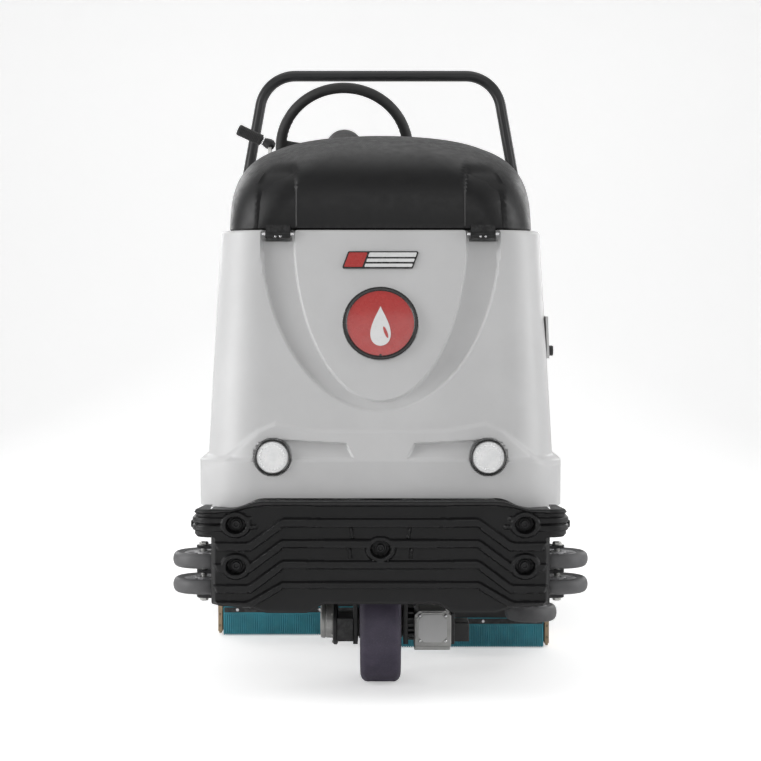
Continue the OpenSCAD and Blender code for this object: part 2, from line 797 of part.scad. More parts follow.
module rear_body() color("dimgray") difference() {
    union() {
        difference() {
            rear_form(0);
            difference() {
                rear_form(tank_wall);
                block([-500, 500], [bay_split - 4, bay_split + 4], [0, 1000]);
            }
        }
        bar_z(cap_x, cap_y, [rear_top_z - 1, rear_top_z + 18], 60);
        // skirts over the rear wheels
        both_sides() block([rear_w / 2 - 8, rear_w / 2], [rear_front + 70, rear_back - 70],
            [rail_top - 100, rail_top + 1]);
    }
    bar_x([-600, 600], rear_y, rear_r, rear_r + 25);
    bar_z(cap_x, cap_y, [rear_top_z - 20, rear_top_z + 20], 52);
    bar_y(0, [rear_back - 20, rear_back + 1], rear_top_z - 130, 20);
}

module batteries() color("slategray") for (x = [-285, -95, 95, 285])
    block([x - 85, x + 85], [rear_front + 16, bay_split - 14],
        [rail_top + tank_wall, rail_top + tank_wall + 270]);

module vacuum_motor() color("silver") {
    bar_z(-220, cap_y, [rear_top_z - tank_wall - 170, rear_top_z - tank_wall], 74);
    bar_z(-220, cap_y, [rear_top_z - tank_wall - 200, rear_top_z - tank_wall - 170], 60);
}

module recovery_cap() color("black") difference() {
    bar_z(cap_x, cap_y, [rear_top_z + 2, rear_top_z + 32], 72);
    bar_z(cap_x, cap_y, [rear_top_z + 1, rear_top_z + 18], 60.5);
    for (a = [0:45:315])
        translate([cap_x, cap_y, 0]) rotate([0, 0, a]) bar_z(78, 0, [rear_top_z, rear_top_z + 40], 12);
}

hoop_y = tail_y - 160;
hoop_x = rear_w / 2 - 25;
hoop_lean = 10.3;
hoop_bend = 100;
hoop_knee_z = 1090;
hoop_c = hoop_top_z - hoop_r;
hoop_arc_z = hoop_c - hoop_bend * (1 - sin(hoop_lean));
hoop_arc_x = hoop_x - (hoop_arc_z - hoop_knee_z) * tan(hoop_lean);
hoop_half = hoop_arc_x - hoop_bend * cos(hoop_lean);

module guard_hoop() color("black") {
    both_sides() {
        bar_z(hoop_x, hoop_y, [rear_top_z, rear_top_z + 10], 22);
        bar_z(hoop_x, hoop_y, [rear_top_z, hoop_knee_z], hoop_r);
        translate([hoop_x, hoop_y, hoop_knee_z]) sphere(r = hoop_r);
        translate([hoop_x, hoop_y, hoop_knee_z]) rotate([0, -hoop_lean, 0])
            cylinder(r = hoop_r, h = (hoop_arc_z - hoop_knee_z) / cos(hoop_lean));
        translate([hoop_half, hoop_y, hoop_c - hoop_bend]) rotate([90, 0, 0]) rotate([0, 0, hoop_lean])
            rotate_extrude(angle = 90 - hoop_lean) translate([hoop_bend, 0]) circle(hoop_r);
    }
    bar_x([-hoop_half, hoop_half], hoop_y, hoop_c, hoop_r);
}

// ---- seat ----

seat_front = rear_front + 12;
seat_deep = 370;
cushion_t = 88;
cushion_z = rear_top_z + 26;
back_top = 1226;
back_t = 72;

// Y of the seat back's plate at a height
function back_line(z) = seat_front + seat_deep + 20 + (z - cushion_z) * 0.06;

module seat_frame() color("black") {
    both_sides() block([150, 190], [seat_front + 20, seat_front + seat_deep - 10],
        [rear_top_z, rear_top_z + 16]);
    block([-seat_w / 2 + 10, seat_w / 2 - 10], [seat_front + 5, seat_front + seat_deep + 20],
        [rear_top_z + 16, cushion_z]);
    back_plate();
}

// Plate behind the back cushion, bent up from the seat pan
module back_plate() side_shape([-150, 150], [[back_line(cushion_z), rear_top_z + 16],
    [back_line(cushion_z), cushion_z], [back_line(1130), 1130],
    [back_line(1130) + 6, 1130], [back_line(cushion_z) + 6, rear_top_z + 16]]);

module seat_cushion() color("black") translate([0, 0, cushion_z]) linear_extrude(cushion_t)
    round_rect([-seat_w / 2, seat_w / 2], [seat_front, seat_front + seat_deep], 50);

module seat_back() color("black") {
    low = cushion_z + cushion_t + 2;
    intersection() {
        side_shape([-seat_w / 2 + 10, seat_w / 2 - 10], [[back_line(low) - back_t, low],
            [back_line(low) - 0.3, low], [back_line(back_top) - 0.3, back_top],
            [back_line(back_top) - back_t + 4, back_top]]);
        translate([0, seat_front + seat_deep + 200, 0]) rotate([90, 0, 0]) linear_extrude(400)
            round_rect([-seat_w / 2 + 10, seat_w / 2 - 10], [low - 4, back_top], 60);
    }
}

// ---- rear wheels ----

wheel_in = rail_x + rail_half + 8;

module rear_axle() color("silver") {
    bar_x([-wheel_in - rear_wheel_w - 10, wheel_in + rear_wheel_w + 10], rear_y, rear_r, 14);
}

module rear_wheel(side) {
    x = side > 0 ? [wheel_in, wheel_in + rear_wheel_w] : [-wheel_in - rear_wheel_w, -wheel_in];
    color("black") difference() {
        bar_x(x, rear_y, rear_r, rear_r);
        bar_x([x[0] - 1, x[1] + 1], rear_y, rear_r, rear_r - 35);
    }
    color("lightgray") difference() {
        bar_x([x[0] + 8, x[1] - 8], rear_y, rear_r, rear_r - 35);
        bar_x([x[0] - 1, x[1] + 1], rear_y, rear_r, 14 + fit);
    }
}

module rear_wheel_left() rear_wheel(1);
module rear_wheel_right() rear_wheel(-1);

// ---- brush deck ----

// Outline of one brush head: square to the front, round to the back
module head_outline(side, index, r) {
    x = side * head_x;
    front = skirt_y[index] + 4 + rim_out - r;
    translate([x - r, front]) square([2 * r, head_y[index] - front]);
    translate([x, head_y[index]]) circle(r);
}

module deck_outline(r) {
    head_outline(1, 0, r);
    head_outline(-1, 1, r);
}

module brush_deck() color("dimgray") difference() {
    union() {
        translate([0, 0, deck_rim]) linear_extrude(deck_z + deck_t - deck_rim) deck_outline(rim_out);
        both_sides() bar_z(post_x, post_y, [deck_z, deck_z + deck_t + 62], 20);
        block([deck_roller[0] - 30, deck_roller[0] + 30], [deck_roller[1], deck_roller[1] + 110],
            [deck_z + deck_t - 1, deck_z + deck_t + 18]);
        bar_z(deck_roller[0], deck_roller[1], [deck_z + deck_t + 8, deck_z + deck_t + 18], 30);
        bar_z(deck_roller[0], deck_roller[1], [deck_roller[2] - 24, deck_z + deck_t + 10], 8);
        bar_z(deck_roller[0], deck_roller[1], [deck_roller[2] - 26, deck_roller[2] - 20], 14);
    }
    translate([0, 0, deck_rim - 1]) linear_extrude(deck_z - deck_rim + 1) deck_outline(rim_in);
    both_sides() bar_z(post_x, post_y, [deck_z - 1, deck_z + 90], post_r + fit);
    bar_z(head_x, head_y[0], [deck_z - 1, deck_z + deck_t + 1], 14);
    bar_z(-head_x, head_y[1], [deck_z - 1, deck_z + deck_t + 1], 14);
    // room around the roller
    translate([deck_roller[0], deck_roller[1], 70]) difference() {
        cylinder(r = deck_roller_r + 3, h = 46);
        cylinder(r = 8, h = 60);
        translate([0, 0, -1]) cylinder(r = 14, h = 8);
    }
}

module deck_roller() roller(deck_roller[0], deck_roller[1], deck_roller[2], deck_roller_r, 34, 8);

// Splash skirts across the front of each head, and guards along the outer sides
module brush_skirts() {
    color("steelblue") {
        block([head_x - rim_out + 3, head_x + rim_out - 3], [skirt_y[0], skirt_y[0] + 4], [1, 70]);
        block([-head_x - rim_out + 3, head_x - rim_out - 1], [skirt_y[1], skirt_y[1] + 4], [1, 70]);
    }
    color("tan") {
        block([head_x + rim_out, head_x + rim_out + 10], [skirt_y[0] + 4, head_y[0]], [5, 90]);
        block([-head_x - rim_out - 10, -head_x - rim_out], [skirt_y[1] + 4, head_y[1]], [5, 90]);
    }
}

module brush_motor(x, y) {
    bar_z(x, y, [deck_z + deck_t, deck_z + deck_t + 115], motor_r);
    bar_z(x, y, [66, deck_z + deck_t], 10);
}

module brush_motors() color("silver") {
    brush_motor(head_x, head_y[0]);
    brush_motor(-head_x, head_y[1]);
}

module disc_brush(x, y) color("slategray") difference() {
    union() {
        bar_z(x, y, [45, 62], brush_r);
        bar_z(x, y, [60, 96], 30);
        bar_z(x, y, [2, 46], brush_r - 4);
    }
    bar_z(x, y, [1, 46], 70);
    bar_z(x, y, [40, 100], 10 + fit);
}

module brush_left() disc_brush(head_x, head_y[0]);
module brush_right() disc_brush(-head_x, head_y[1]);

module deck_actuator() color("gray") difference() {
    bar_z(rod_x0, rod_y0, [platform_z, platform_z + 190], 28);
    bar_z(rod_x0, rod_y0, [platform_z - 1, platform_z + 150], 10 + fit);
}

module actuator_rod() color("silver") {
    bar_z(rod_x0, rod_y0, [deck_z + deck_t, platform_z + 60], 10);
    bar_z(rod_x0, rod_y0, [deck_z + deck_t, deck_z + deck_t + 14], 18);
}

// ---- squeegee ----

// Curved bar along the squeegee's bow
module bow(r, z, half) {
    translate([0, bow_y, z[0]]) rotate([0, 0, 90 - half]) rotate_extrude(angle = 2 * half, $fn = 240)
        translate([r[0], 0]) square([r[1] - r[0], z[1] - z[0]]);
}

module squeegee_head() color("dimgray") difference() {
    union() {
        bow([bow_r - 56.7, bow_r - 13.3], [55, 92], bow_half);
        bar_z(0, spout_y, [91, 126], spout_ring);
        bar_z(0, spout_y, [125, 165], spout_r);
    }
    bar_z(0, spout_y, [50, 170], spout_r - 4);
}

module squeegee_blades() color("tan") {
    bow([bow_r - 61, bow_r - 57], [6, 85], bow_half);
    bow([bow_r - 13, bow_r - 9], [3, 85], bow_half);
    bow([bow_r - 9, bow_r], [64, 78], bow_half);
}

module squeegee_arm() color("silver") difference() {
    union() {
        side_shape([-18, 18], [[arm_pivot[0] - 14, arm_pivot[1] - 12], [arm_pivot[0], arm_pivot[1] - 14],
            [spout_y - 90, 127], [spout_y - 30, 127], [spout_y - 30, 150], [spout_y - 90, 150],
            [arm_pivot[0] + 8, arm_pivot[1] + 12], [arm_pivot[0] - 8, arm_pivot[1] + 12]]);
        bar_z(0, spout_y, [127, 150], spout_ring);
        bar_x([-34, 34], arm_pivot[0], arm_pivot[1], 8);
    }
    bar_z(0, spout_y, [120, 160], spout_r + fit);
}

module suction_hose() color("black") {
    end_z = rear_top_z - 130;
    difference() {
        union() {
            bar_z(0, spout_y, [165, end_z - 50], spout_r);
            translate([0, spout_y - 50, end_z - 50]) rotate([0, -90, 0])
                rotate_extrude(angle = 90) translate([50, 0]) circle(spout_r);
            bar_y(0, [rear_back, spout_y - 50], end_z, spout_r);
        }
        bar_z(0, spout_y, [160, end_z - 60], spout_r - 4);
    }
}

chassis_frame();
front_bumper();
bumper_fixings();
solution_tank();
filter_basket();
headlamp_rings();
headlamp_lenses();
badges();
side_panel();
panel_knob();
lid();
lid_seal();
hinge_pins();
console();
control_panel();
steering_shroud();
key_switch();
speed_dial();
horn_button();
emergency_stop();
steering_wheel();
steering_unit();
drive_fork();
drive_gearbox();
drive_motor();
terminal_box();
drive_hub();
drive_tyre();
platform();
foot_mat();
accelerator();
brake_pedal();
rear_body();
batteries();
vacuum_motor();
recovery_cap();
guard_hoop();
seat_frame();
seat_cushion();
seat_back();
rear_axle();
rear_wheel_left();
rear_wheel_right();
roller_high_left();
roller_low_left();
roller_high_right();
roller_low_right();
deck_roller();
brush_deck();
brush_skirts();
brush_motors();
brush_left();
brush_right();
deck_actuator();
actuator_rod();
squeegee_arm();
squeegee_head();
squeegee_blades();
suction_hose();
squeegee_lever();
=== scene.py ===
import json
import math

import bmesh
import bpy
from mathutils import Matrix, Vector, noise


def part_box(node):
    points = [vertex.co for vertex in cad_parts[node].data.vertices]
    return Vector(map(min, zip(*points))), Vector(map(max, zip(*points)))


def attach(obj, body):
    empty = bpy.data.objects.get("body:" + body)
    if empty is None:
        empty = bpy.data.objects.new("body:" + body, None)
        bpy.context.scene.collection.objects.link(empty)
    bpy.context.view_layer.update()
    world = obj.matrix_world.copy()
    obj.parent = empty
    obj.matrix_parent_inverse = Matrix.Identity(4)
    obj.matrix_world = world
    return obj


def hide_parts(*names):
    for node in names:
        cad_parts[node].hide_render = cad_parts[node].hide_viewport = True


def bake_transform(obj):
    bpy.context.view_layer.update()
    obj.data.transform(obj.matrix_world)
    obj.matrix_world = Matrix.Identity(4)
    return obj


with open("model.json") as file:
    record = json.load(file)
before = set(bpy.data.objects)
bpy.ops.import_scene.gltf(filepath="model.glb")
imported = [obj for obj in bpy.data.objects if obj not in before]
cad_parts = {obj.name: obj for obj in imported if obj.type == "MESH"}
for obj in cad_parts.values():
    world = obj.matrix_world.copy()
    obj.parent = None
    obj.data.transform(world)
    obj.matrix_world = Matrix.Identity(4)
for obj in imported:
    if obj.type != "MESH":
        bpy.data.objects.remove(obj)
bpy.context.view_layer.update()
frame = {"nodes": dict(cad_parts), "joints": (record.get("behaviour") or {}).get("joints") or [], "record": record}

# Ride on scrubber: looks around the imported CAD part. Lengths are in millimetres until a mesh is made.
MM = 0.001
QUARTER = math.pi / 2
# stands a flat outline up, its height along -Y
STAND = Matrix.Rotation(QUARTER, 4, "X")
NODES = frame["nodes"]
BODY = {n: b for b, names in frame["record"]["behaviour"]["bodies"].items() for n in names}
SLOT = {s["node"]: s["material_slot"] for s in frame["record"]["subparts"]}


def box_mm(node):
    """Lowest and highest corner of a CAD node, in millimetres."""
    low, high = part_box(node)
    return [v / MM for v in low], [v / MM for v in high]


def smooth(t):
    t = min(1.0, max(0.0, t))
    return t * t * (3 - 2 * t)


def along(points, x):
    """Height of a polyline at x."""
    if x <= points[0][0]:
        return points[0][1]
    for (xa, ya), (xb, yb) in zip(points, points[1:]):
        if x <= xb:
            return ya + (yb - ya) * (x - xa) / (xb - xa)
    return points[-1][1]


# ---------------------------------------------------------------- camera, light, floor

def stage_scene():
    camera = bpy.data.objects.new("camera", bpy.data.cameras.new("camera"))
    camera.location = (0, -4.3, 0.783)
    camera.rotation_euler = (math.radians(90 - 2.29), 0, 0)
    camera.data.lens = 83.3
    camera.data.sensor_width = 36
    bpy.context.scene.collection.objects.link(camera)
    bpy.context.scene.camera = camera

    def light(name, place, aim, size, power, tall=None):
        data = bpy.data.lights.new(name, "AREA")
        data.energy = power
        data.size = size
        if tall:
            data.shape = "RECTANGLE"
            data.size_y = tall
        lamp = bpy.data.objects.new(name, data)
        lamp.location = place
        lamp.rotation_euler = (Vector(aim) - Vector(place)).to_track_quat("-Z", "Y").to_euler()
        bpy.context.scene.collection.objects.link(lamp)

    light("left_box", (-2.7, -1.3, 1.4), (0, -0.5, 0.6), 1.3, 52, 2.6)
    light("right_box", (2.8, -1.0, 1.4), (0, -0.5, 0.6), 1.1, 34, 2.4)
    light("top_box", (0, 0.3, 3.2), (0, 0, 0.5), 2.6, 20, 2.6)
    light("front_fill", (0.3, -4.2, 2.2), (0, -0.4, 0.6), 2.2, 14, 1.4)
    light("back_left", (-2.2, 2.6, 2.0), (0, 0.3, 0.8), 1.4, 26, 1.8)
    light("back_right", (2.4, 2.3, 1.8), (0, 0.3, 0.8), 1.2, 24, 1.8)

    world = bpy.data.worlds.new("world")
    world.use_nodes = True
    world.node_tree.nodes["Background"].inputs["Color"].default_value = (1, 1, 1, 1)
    # the sky lights the machine softly and reads as white behind it
    seen = world.node_tree.nodes.new("ShaderNodeLightPath")
    sky = world.node_tree.nodes.new("ShaderNodeMapRange")
    sky.inputs["To Min"].default_value = 0.36
    sky.inputs["To Max"].default_value = 1.0
    world.node_tree.links.new(seen.outputs["Is Camera Ray"], sky.inputs["Value"])
    world.node_tree.links.new(sky.outputs["Result"], world.node_tree.nodes["Background"].inputs["Strength"])
    bpy.context.scene.world = world
    bpy.context.scene.view_settings.view_transform = "Standard"

    floor_mat = bpy.data.materials.new("floor")
    floor_mat.use_nodes = True
    shader = floor_mat.node_tree.nodes["Principled BSDF"]
    shader.inputs["Base Color"].default_value = (0.93, 0.93, 0.93, 1)
    shader.inputs["Roughness"].default_value = 0.75
    shader.inputs["Emission Color"].default_value = (1, 1, 1, 1)
    shader.inputs["Specular IOR Level"].default_value = 0.1
    # the sweep is washed with its own light, seen by the camera alone, so that it reads as plain white
    seen = floor_mat.node_tree.nodes.new("ShaderNodeLightPath")
    wash = floor_mat.node_tree.nodes.new("ShaderNodeMath")
    wash.operation = "MULTIPLY"
    wash.inputs[1].default_value = 0.42
    floor_mat.node_tree.links.new(seen.outputs["Is Camera Ray"], wash.inputs[0])
    floor_mat.node_tree.links.new(wash.outputs["Value"], shader.inputs["Emission Strength"])
    half, bend, n = 9.0, 2.0, 12
    profile = [(-half, 0.0), (3.0, 0.0)]
    profile += [(3.0 + bend * math.sin(math.pi / 2 * i / n), bend - bend * math.cos(math.pi / 2 * i / n))
                for i in range(1, n + 1)]
    profile.append((3.0 + bend, 7.0))
    verts = [(x, y, z) for y, z in profile for x in (-half, half)]
    faces = [(2 * i, 2 * i + 1, 2 * i + 3, 2 * i + 2) for i in range(len(profile) - 1)]
    mesh = bpy.data.meshes.new("floor")
    mesh.from_pydata(verts, [], faces)
    mesh.materials.append(floor_mat)
    for p in mesh.polygons:
        p.use_smooth = True
    floor = bpy.data.objects.new("floor", mesh)
    bpy.context.scene.collection.objects.link(floor)


stage_scene()


# ---------------------------------------------------------------- materials

def material(name, color, rough, metal=0.0, var=0.08, patch=7.0, grain=900.0, bump=0.2, depth=0.0003,
             pattern="noise", wear=0.0, wear_color=(0.35, 0.35, 0.35), coat=0.0, sheen=0.0, spec=0.5,
             spread=0.08, stretch=(1, 1, 1), glass=0.0, fleck=0.0, dust=0.0):
    """Procedural finish: broad colour drift, roughness drift, grain bump, edge wear, dust from below."""
    mat = bpy.data.materials.new(name)
    mat.use_nodes = True
    tree = mat.node_tree
    shader = tree.nodes["Principled BSDF"]
    new, link = tree.nodes.new, tree.links.new

    def socket(node, name, value):
        node.inputs[name].default_value = value

    coords = new("ShaderNodeTexCoord")
    mapping = new("ShaderNodeMapping")
    socket(mapping, "Scale", stretch)
    link(coords.outputs["Object"], mapping.inputs["Vector"])

    def noise_tex(scale, detail, rough_n=0.55):
        tex = new("ShaderNodeTexNoise")
        socket(tex, "Scale", scale)
        socket(tex, "Detail", detail)
        socket(tex, "Roughness", rough_n)
        link(mapping.outputs["Vector"], tex.inputs["Vector"])
        return tex.outputs["Fac"]

    def span(value, a, b, c, d):
        node = new("ShaderNodeMapRange")
        for key, v in zip(("From Min", "From Max", "To Min", "To Max"), (a, b, c, d)):
            socket(node, key, v)
        link(value, node.inputs["Value"])
        return node.outputs["Result"]

    def mix(factor, a, b, kind="MIX"):
        node = new("ShaderNodeMix")
        node.data_type = "RGBA"
        node.blend_type = kind
        link(factor, node.inputs["Factor"])
        for key, v in (("A", a), ("B", b)):
            slot = [s for s in node.inputs if s.name == key and s.type == "RGBA"][0]
            if isinstance(v, tuple):
                slot.default_value = (*v, 1)
            else:
                link(v, slot)
        return [s for s in node.outputs if s.type == "RGBA"][0]

    dark = tuple(c * (1 - var) for c in color)
    light = tuple(min(1, c * (1 + var)) for c in color)
    base = mix(span(noise_tex(patch, 4), 0.35, 0.65, 0, 1), dark, light)
    if fleck:
        fleck_color = tuple(min(1, c * 1.6 + 0.05) for c in color)
        base = mix(span(noise_tex(grain * 0.45, 2), 0.6, 0.68, 0, fleck), base, fleck_color)
    if dust:
        normal = new("ShaderNodeNewGeometry")
        split = new("ShaderNodeSeparateXYZ")
        link(normal.outputs["Normal"], split.inputs["Vector"])
        up = span(split.outputs["Z"], 0.5, 1.0, 0, dust)
        base = mix(up, base, (0.33, 0.31, 0.29))
    if wear:
        geometry = new("ShaderNodeNewGeometry")
        edge = span(geometry.outputs["Pointiness"], 0.52, 0.6, 0, wear)
        scratch = new("ShaderNodeMath")
        scratch.operation = "MULTIPLY"
        link(edge, scratch.inputs[0])
        link(span(noise_tex(90, 5, 0.7), 0.42, 0.62, 0, 1), scratch.inputs[1])
        base = mix(scratch.outputs[0], base, wear_color)
    link(base, shader.inputs["Base Color"])
    link(span(noise_tex(patch * 9, 5), 0.3, 0.7, max(0.02, rough - spread), min(1, rough + spread)),
         shader.inputs["Roughness"])

    if pattern == "leather":
        tex = new("ShaderNodeTexVoronoi")
        tex.feature = "DISTANCE_TO_EDGE"
        socket(tex, "Scale", grain)
        link(mapping.outputs["Vector"], tex.inputs["Vector"])
        height = span(tex.outputs["Distance"], 0.0, 0.25, 0, 1)
    elif pattern == "pebble":
        tex = new("ShaderNodeTexVoronoi")
        socket(tex, "Scale", grain)
        link(mapping.outputs["Vector"], tex.inputs["Vector"])
        height = tex.outputs["Distance"]
    else:
        height = noise_tex(grain, 3)
    bump_node = new("ShaderNodeBump")
    socket(bump_node, "Strength", bump)
    socket(bump_node, "Distance", depth)
    link(height, bump_node.inputs["Height"])
    link(bump_node.outputs["Normal"], shader.inputs["Normal"])

    socket(shader, "Metallic", metal)
    socket(shader, "Specular IOR Level", spec)
    if coat:
        socket(shader, "Coat Weight", coat)
        socket(shader, "Coat Roughness", 0.08)
    if sheen:
        socket(shader, "Sheen Weight", sheen)
        socket(shader, "Sheen Roughness", 0.4)
    if glass:
        socket(shader, "Transmission Weight", glass)
        socket(shader, "IOR", 1.49)
    return mat


M = {
    "grey_shell": material("grey_shell", (0.60, 0.60, 0.602), 0.42, var=0.03, grain=1500, bump=0.12,
                           dust=0.03),
    "black_shell": material("black_shell", (0.0085, 0.0085, 0.009), 0.40, var=0.12, grain=1700, bump=0.22,
                            pattern="pebble", spec=0.36, wear=0.25, wear_color=(0.09, 0.09, 0.09),
                            dust=0.004),
    "black_steel": material("black_steel", (0.012, 0.012, 0.013), 0.38, var=0.15, grain=1300, bump=0.25,
                            dust=0.02),
    "grey_steel": material("grey_steel", (0.16, 0.165, 0.17), 0.42, metal=0.3, var=0.12, grain=1100, bump=0.2,
                           wear=0.4, wear_color=(0.5, 0.5, 0.5), dust=0.08),
    "zinc": material("zinc", (0.58, 0.58, 0.56), 0.30, metal=1.0, var=0.14, patch=25, grain=500, bump=0.12,
                     stretch=(1, 1, 6), wear=0.2, wear_color=(0.8, 0.8, 0.8)),
    "chrome": material("chrome", (0.78, 0.78, 0.79), 0.12, metal=1.0, var=0.05, grain=700, bump=0.03,
                       spread=0.06),
    "cast_alloy": material("cast_alloy", (0.42, 0.42, 0.41), 0.45, metal=0.75, var=0.12, patch=18, grain=800,
                           bump=0.45, pattern="pebble", wear=0.3, wear_color=(0.75, 0.75, 0.75)),
    "lamp_ring": material("lamp_ring", (0.008, 0.008, 0.008), 0.28, var=0.1, grain=900, bump=0.05, coat=0.15),
    "lamp_lens": material("lamp_lens", (0.96, 0.965, 0.97), 0.10, var=0.06, patch=60, grain=260, bump=0.35,
                          pattern="pebble", depth=0.0005, coat=0.6, spread=0.05),
    "red_badge": material("red_badge", (0.46, 0.022, 0.018), 0.28, var=0.05, grain=900, bump=0.05, coat=0.6),
    "light_panel": material("light_panel", (0.62, 0.62, 0.62), 0.42, var=0.04, grain=1200, bump=0.12),
    "seal_rubber": material("seal_rubber", (0.018, 0.018, 0.018), 0.75, var=0.15, grain=900, bump=0.3),
    "console_plastic": material("console_plastic", (0.022, 0.022, 0.023), 0.48, var=0.12, grain=1900,
                                bump=0.3,
                                pattern="pebble", wear=0.3, wear_color=(0.1, 0.1, 0.1), dust=0.06),
    "panel_film": material("panel_film", (0.016, 0.016, 0.018), 0.30, var=0.1, grain=1500, bump=0.08,
                           coat=0.3),
    "yellow_plastic": material("yellow_plastic", (0.62, 0.38, 0.02), 0.34, var=0.06, grain=900, bump=0.08,
                               coat=0.3),
    "red_plastic": material("red_plastic", (0.50, 0.015, 0.012), 0.30, var=0.06, grain=900, bump=0.08,
                            coat=0.5),
    "grip_rubber": material("grip_rubber", (0.017, 0.017, 0.017), 0.55, var=0.12, grain=1500, bump=0.35,
                            pattern="leather", depth=0.0002, wear=0.25, wear_color=(0.06, 0.06, 0.06)),
    "motor_black": material("motor_black", (0.012, 0.012, 0.013), 0.40, var=0.12, grain=900, bump=0.2,
                            wear=0.3, wear_color=(0.15, 0.15, 0.15)),
    "drive_tread": material("drive_tread", (0.062, 0.052, 0.082), 0.60, var=0.14, patch=30, grain=1600,
                            bump=0.4,
                            fleck=0.35, dust=0.05),
    "wheel_core": material("wheel_core", (0.27, 0.27, 0.27), 0.42, metal=0.2, var=0.1, grain=700, bump=0.3,
                           wear=0.4, wear_color=(0.5, 0.5, 0.5)),
    "mat_rubber": material("mat_rubber", (0.016, 0.016, 0.016), 0.72, var=0.2, grain=1200, bump=0.35,
                           dust=0.10),
    "battery_case": material("battery_case", (0.10, 0.115, 0.13), 0.40, var=0.08, grain=900, bump=0.15,
                             dust=0.1),
    "seat_vinyl": material("seat_vinyl", (0.017, 0.017, 0.018), 0.42, var=0.12, patch=14, grain=420,
                           bump=0.35,
                           pattern="leather", depth=0.0004, sheen=0.12, dust=0.03),
    "grey_tyre": material("grey_tyre", (0.105, 0.105, 0.108), 0.52, var=0.12, patch=20, grain=1500, bump=0.3,
                          wear=0.3, wear_color=(0.22, 0.22, 0.22)),
    "hub_grey": material("hub_grey", (0.40, 0.40, 0.41), 0.45, var=0.06, patch=20, grain=1200, bump=0.15),
    "blue_skirt": material("blue_skirt", (0.030, 0.235, 0.300), 0.42, var=0.16, patch=22, grain=900, bump=0.2,
                           wear=0.3, wear_color=(0.2, 0.45, 0.5)),
    "brush_fibre": material("brush_fibre", (0.045, 0.11, 0.20), 0.55, var=0.25, patch=60, grain=1800,
                            bump=0.5,
                            stretch=(1, 1, 0.1)),
    "tan_rubber": material("tan_rubber", (0.40, 0.29, 0.18), 0.58, var=0.12, patch=18, grain=1100, bump=0.25),
    "hose_black": material("hose_black", (0.017, 0.017, 0.018), 0.46, var=0.1, grain=900, bump=0.15,
                           wear=0.3, wear_color=(0.08, 0.08, 0.08)),
    "white_ink": material("white_ink", (0.78, 0.78, 0.78), 0.30, var=0.03, grain=900, bump=0.04, coat=0.4),
    "green_lamp": material("green_lamp", (0.03, 0.35, 0.06), 0.25, var=0.08, grain=900, bump=0.05, coat=0.5),
    "screen": material("screen", (0.12, 0.17, 0.12), 0.18, var=0.1, grain=600, bump=0.03, coat=0.6),
}


# ---------------------------------------------------------------- mesh tools

def make_object(name, verts, faces, mats, face_mats=None, angle=35, bevel=0.0, segments=2, close=True):
    """A mesh object from points in millimetres."""
    mesh = bpy.data.meshes.new(name)
    mesh.from_pydata([(x * MM, y * MM, z * MM) for x, y, z in verts], [], faces)
    for m in mats:
        mesh.materials.append(M[m])
    if face_mats:
        mesh.polygons.foreach_set("material_index", face_mats)
    if close:
        bm = bmesh.new()
        bm.from_mesh(mesh)
        bmesh.ops.remove_doubles(bm, verts=bm.verts, dist=0.00001)
        bmesh.ops.dissolve_degenerate(bm, edges=bm.edges, dist=0.000005)
        bmesh.ops.recalc_face_normals(bm, faces=bm.faces)
        bm.to_mesh(mesh)
        bm.free()
    obj = bpy.data.objects.new(name, mesh)
    bpy.context.scene.collection.objects.link(obj)
    shade(obj, angle, bevel, segments)
    return obj


def shade(obj, angle, bevel, segments=2):
    for p in obj.data.polygons:
        p.use_smooth = True
    obj.data.set_sharp_from_angle(angle=math.radians(angle))
    if bevel:
        mod = obj.modifiers.new("bevel", "BEVEL")
        mod.width = bevel * MM
        mod.segments = segments
        mod.limit_method = "ANGLE"
        mod.angle_limit = math.radians(30)
        mod.miter_outer = "MITER_ARC"
        normal = obj.modifiers.new("normals", "WEIGHTED_NORMAL")
        normal.keep_sharp = True


def settle(obj, body, slot, *nodes):
    """Rides on a body and stands for the named CAD nodes, which it hides; the slot argument is not used."""
    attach(obj, body)
    if nodes:
        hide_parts(*nodes)
    return obj


def restyle(node, bevel=1.2, mat=None, name=None, angle=32, segments=2, replace=True):
    """The CAD node's own shape with clean faces, rounded edges and its finish."""
    mesh = NODES[node].data.copy()
    bm = bmesh.new()
    bm.from_mesh(mesh)
    bmesh.ops.remove_doubles(bm, verts=bm.verts, dist=0.00002)
    bmesh.ops.dissolve_limit(bm, angle_limit=math.radians(0.6), verts=bm.verts, edges=bm.edges)
    bmesh.ops.recalc_face_normals(bm, faces=bm.faces)
    mesh = bpy.data.meshes.new(node)
    bm.to_mesh(mesh)
    bm.free()
    mesh.materials.append(M[mat or SLOT[node]])
    for p in mesh.polygons:
        p.material_index = 0
    obj = bpy.data.objects.new(name or node + "_look", mesh)
    bpy.context.scene.collection.objects.link(obj)
    shade(obj, angle, bevel, segments)
    return settle(obj, BODY[node], SLOT[node], *([node] if replace else []))


def frame_to(origin, axis, up=None):
    """Matrix that takes local Z to the axis."""
    z = Vector(axis).normalized()
    up = Vector(up or ((0, 0, 1) if abs(z.z) < 0.9 else (0, 1, 0)))
    x = up.cross(z).normalized()
    y = z.cross(x)
    m = Matrix((x, y, z)).transposed().to_4x4()
    m.translation = Vector(origin)
    return m


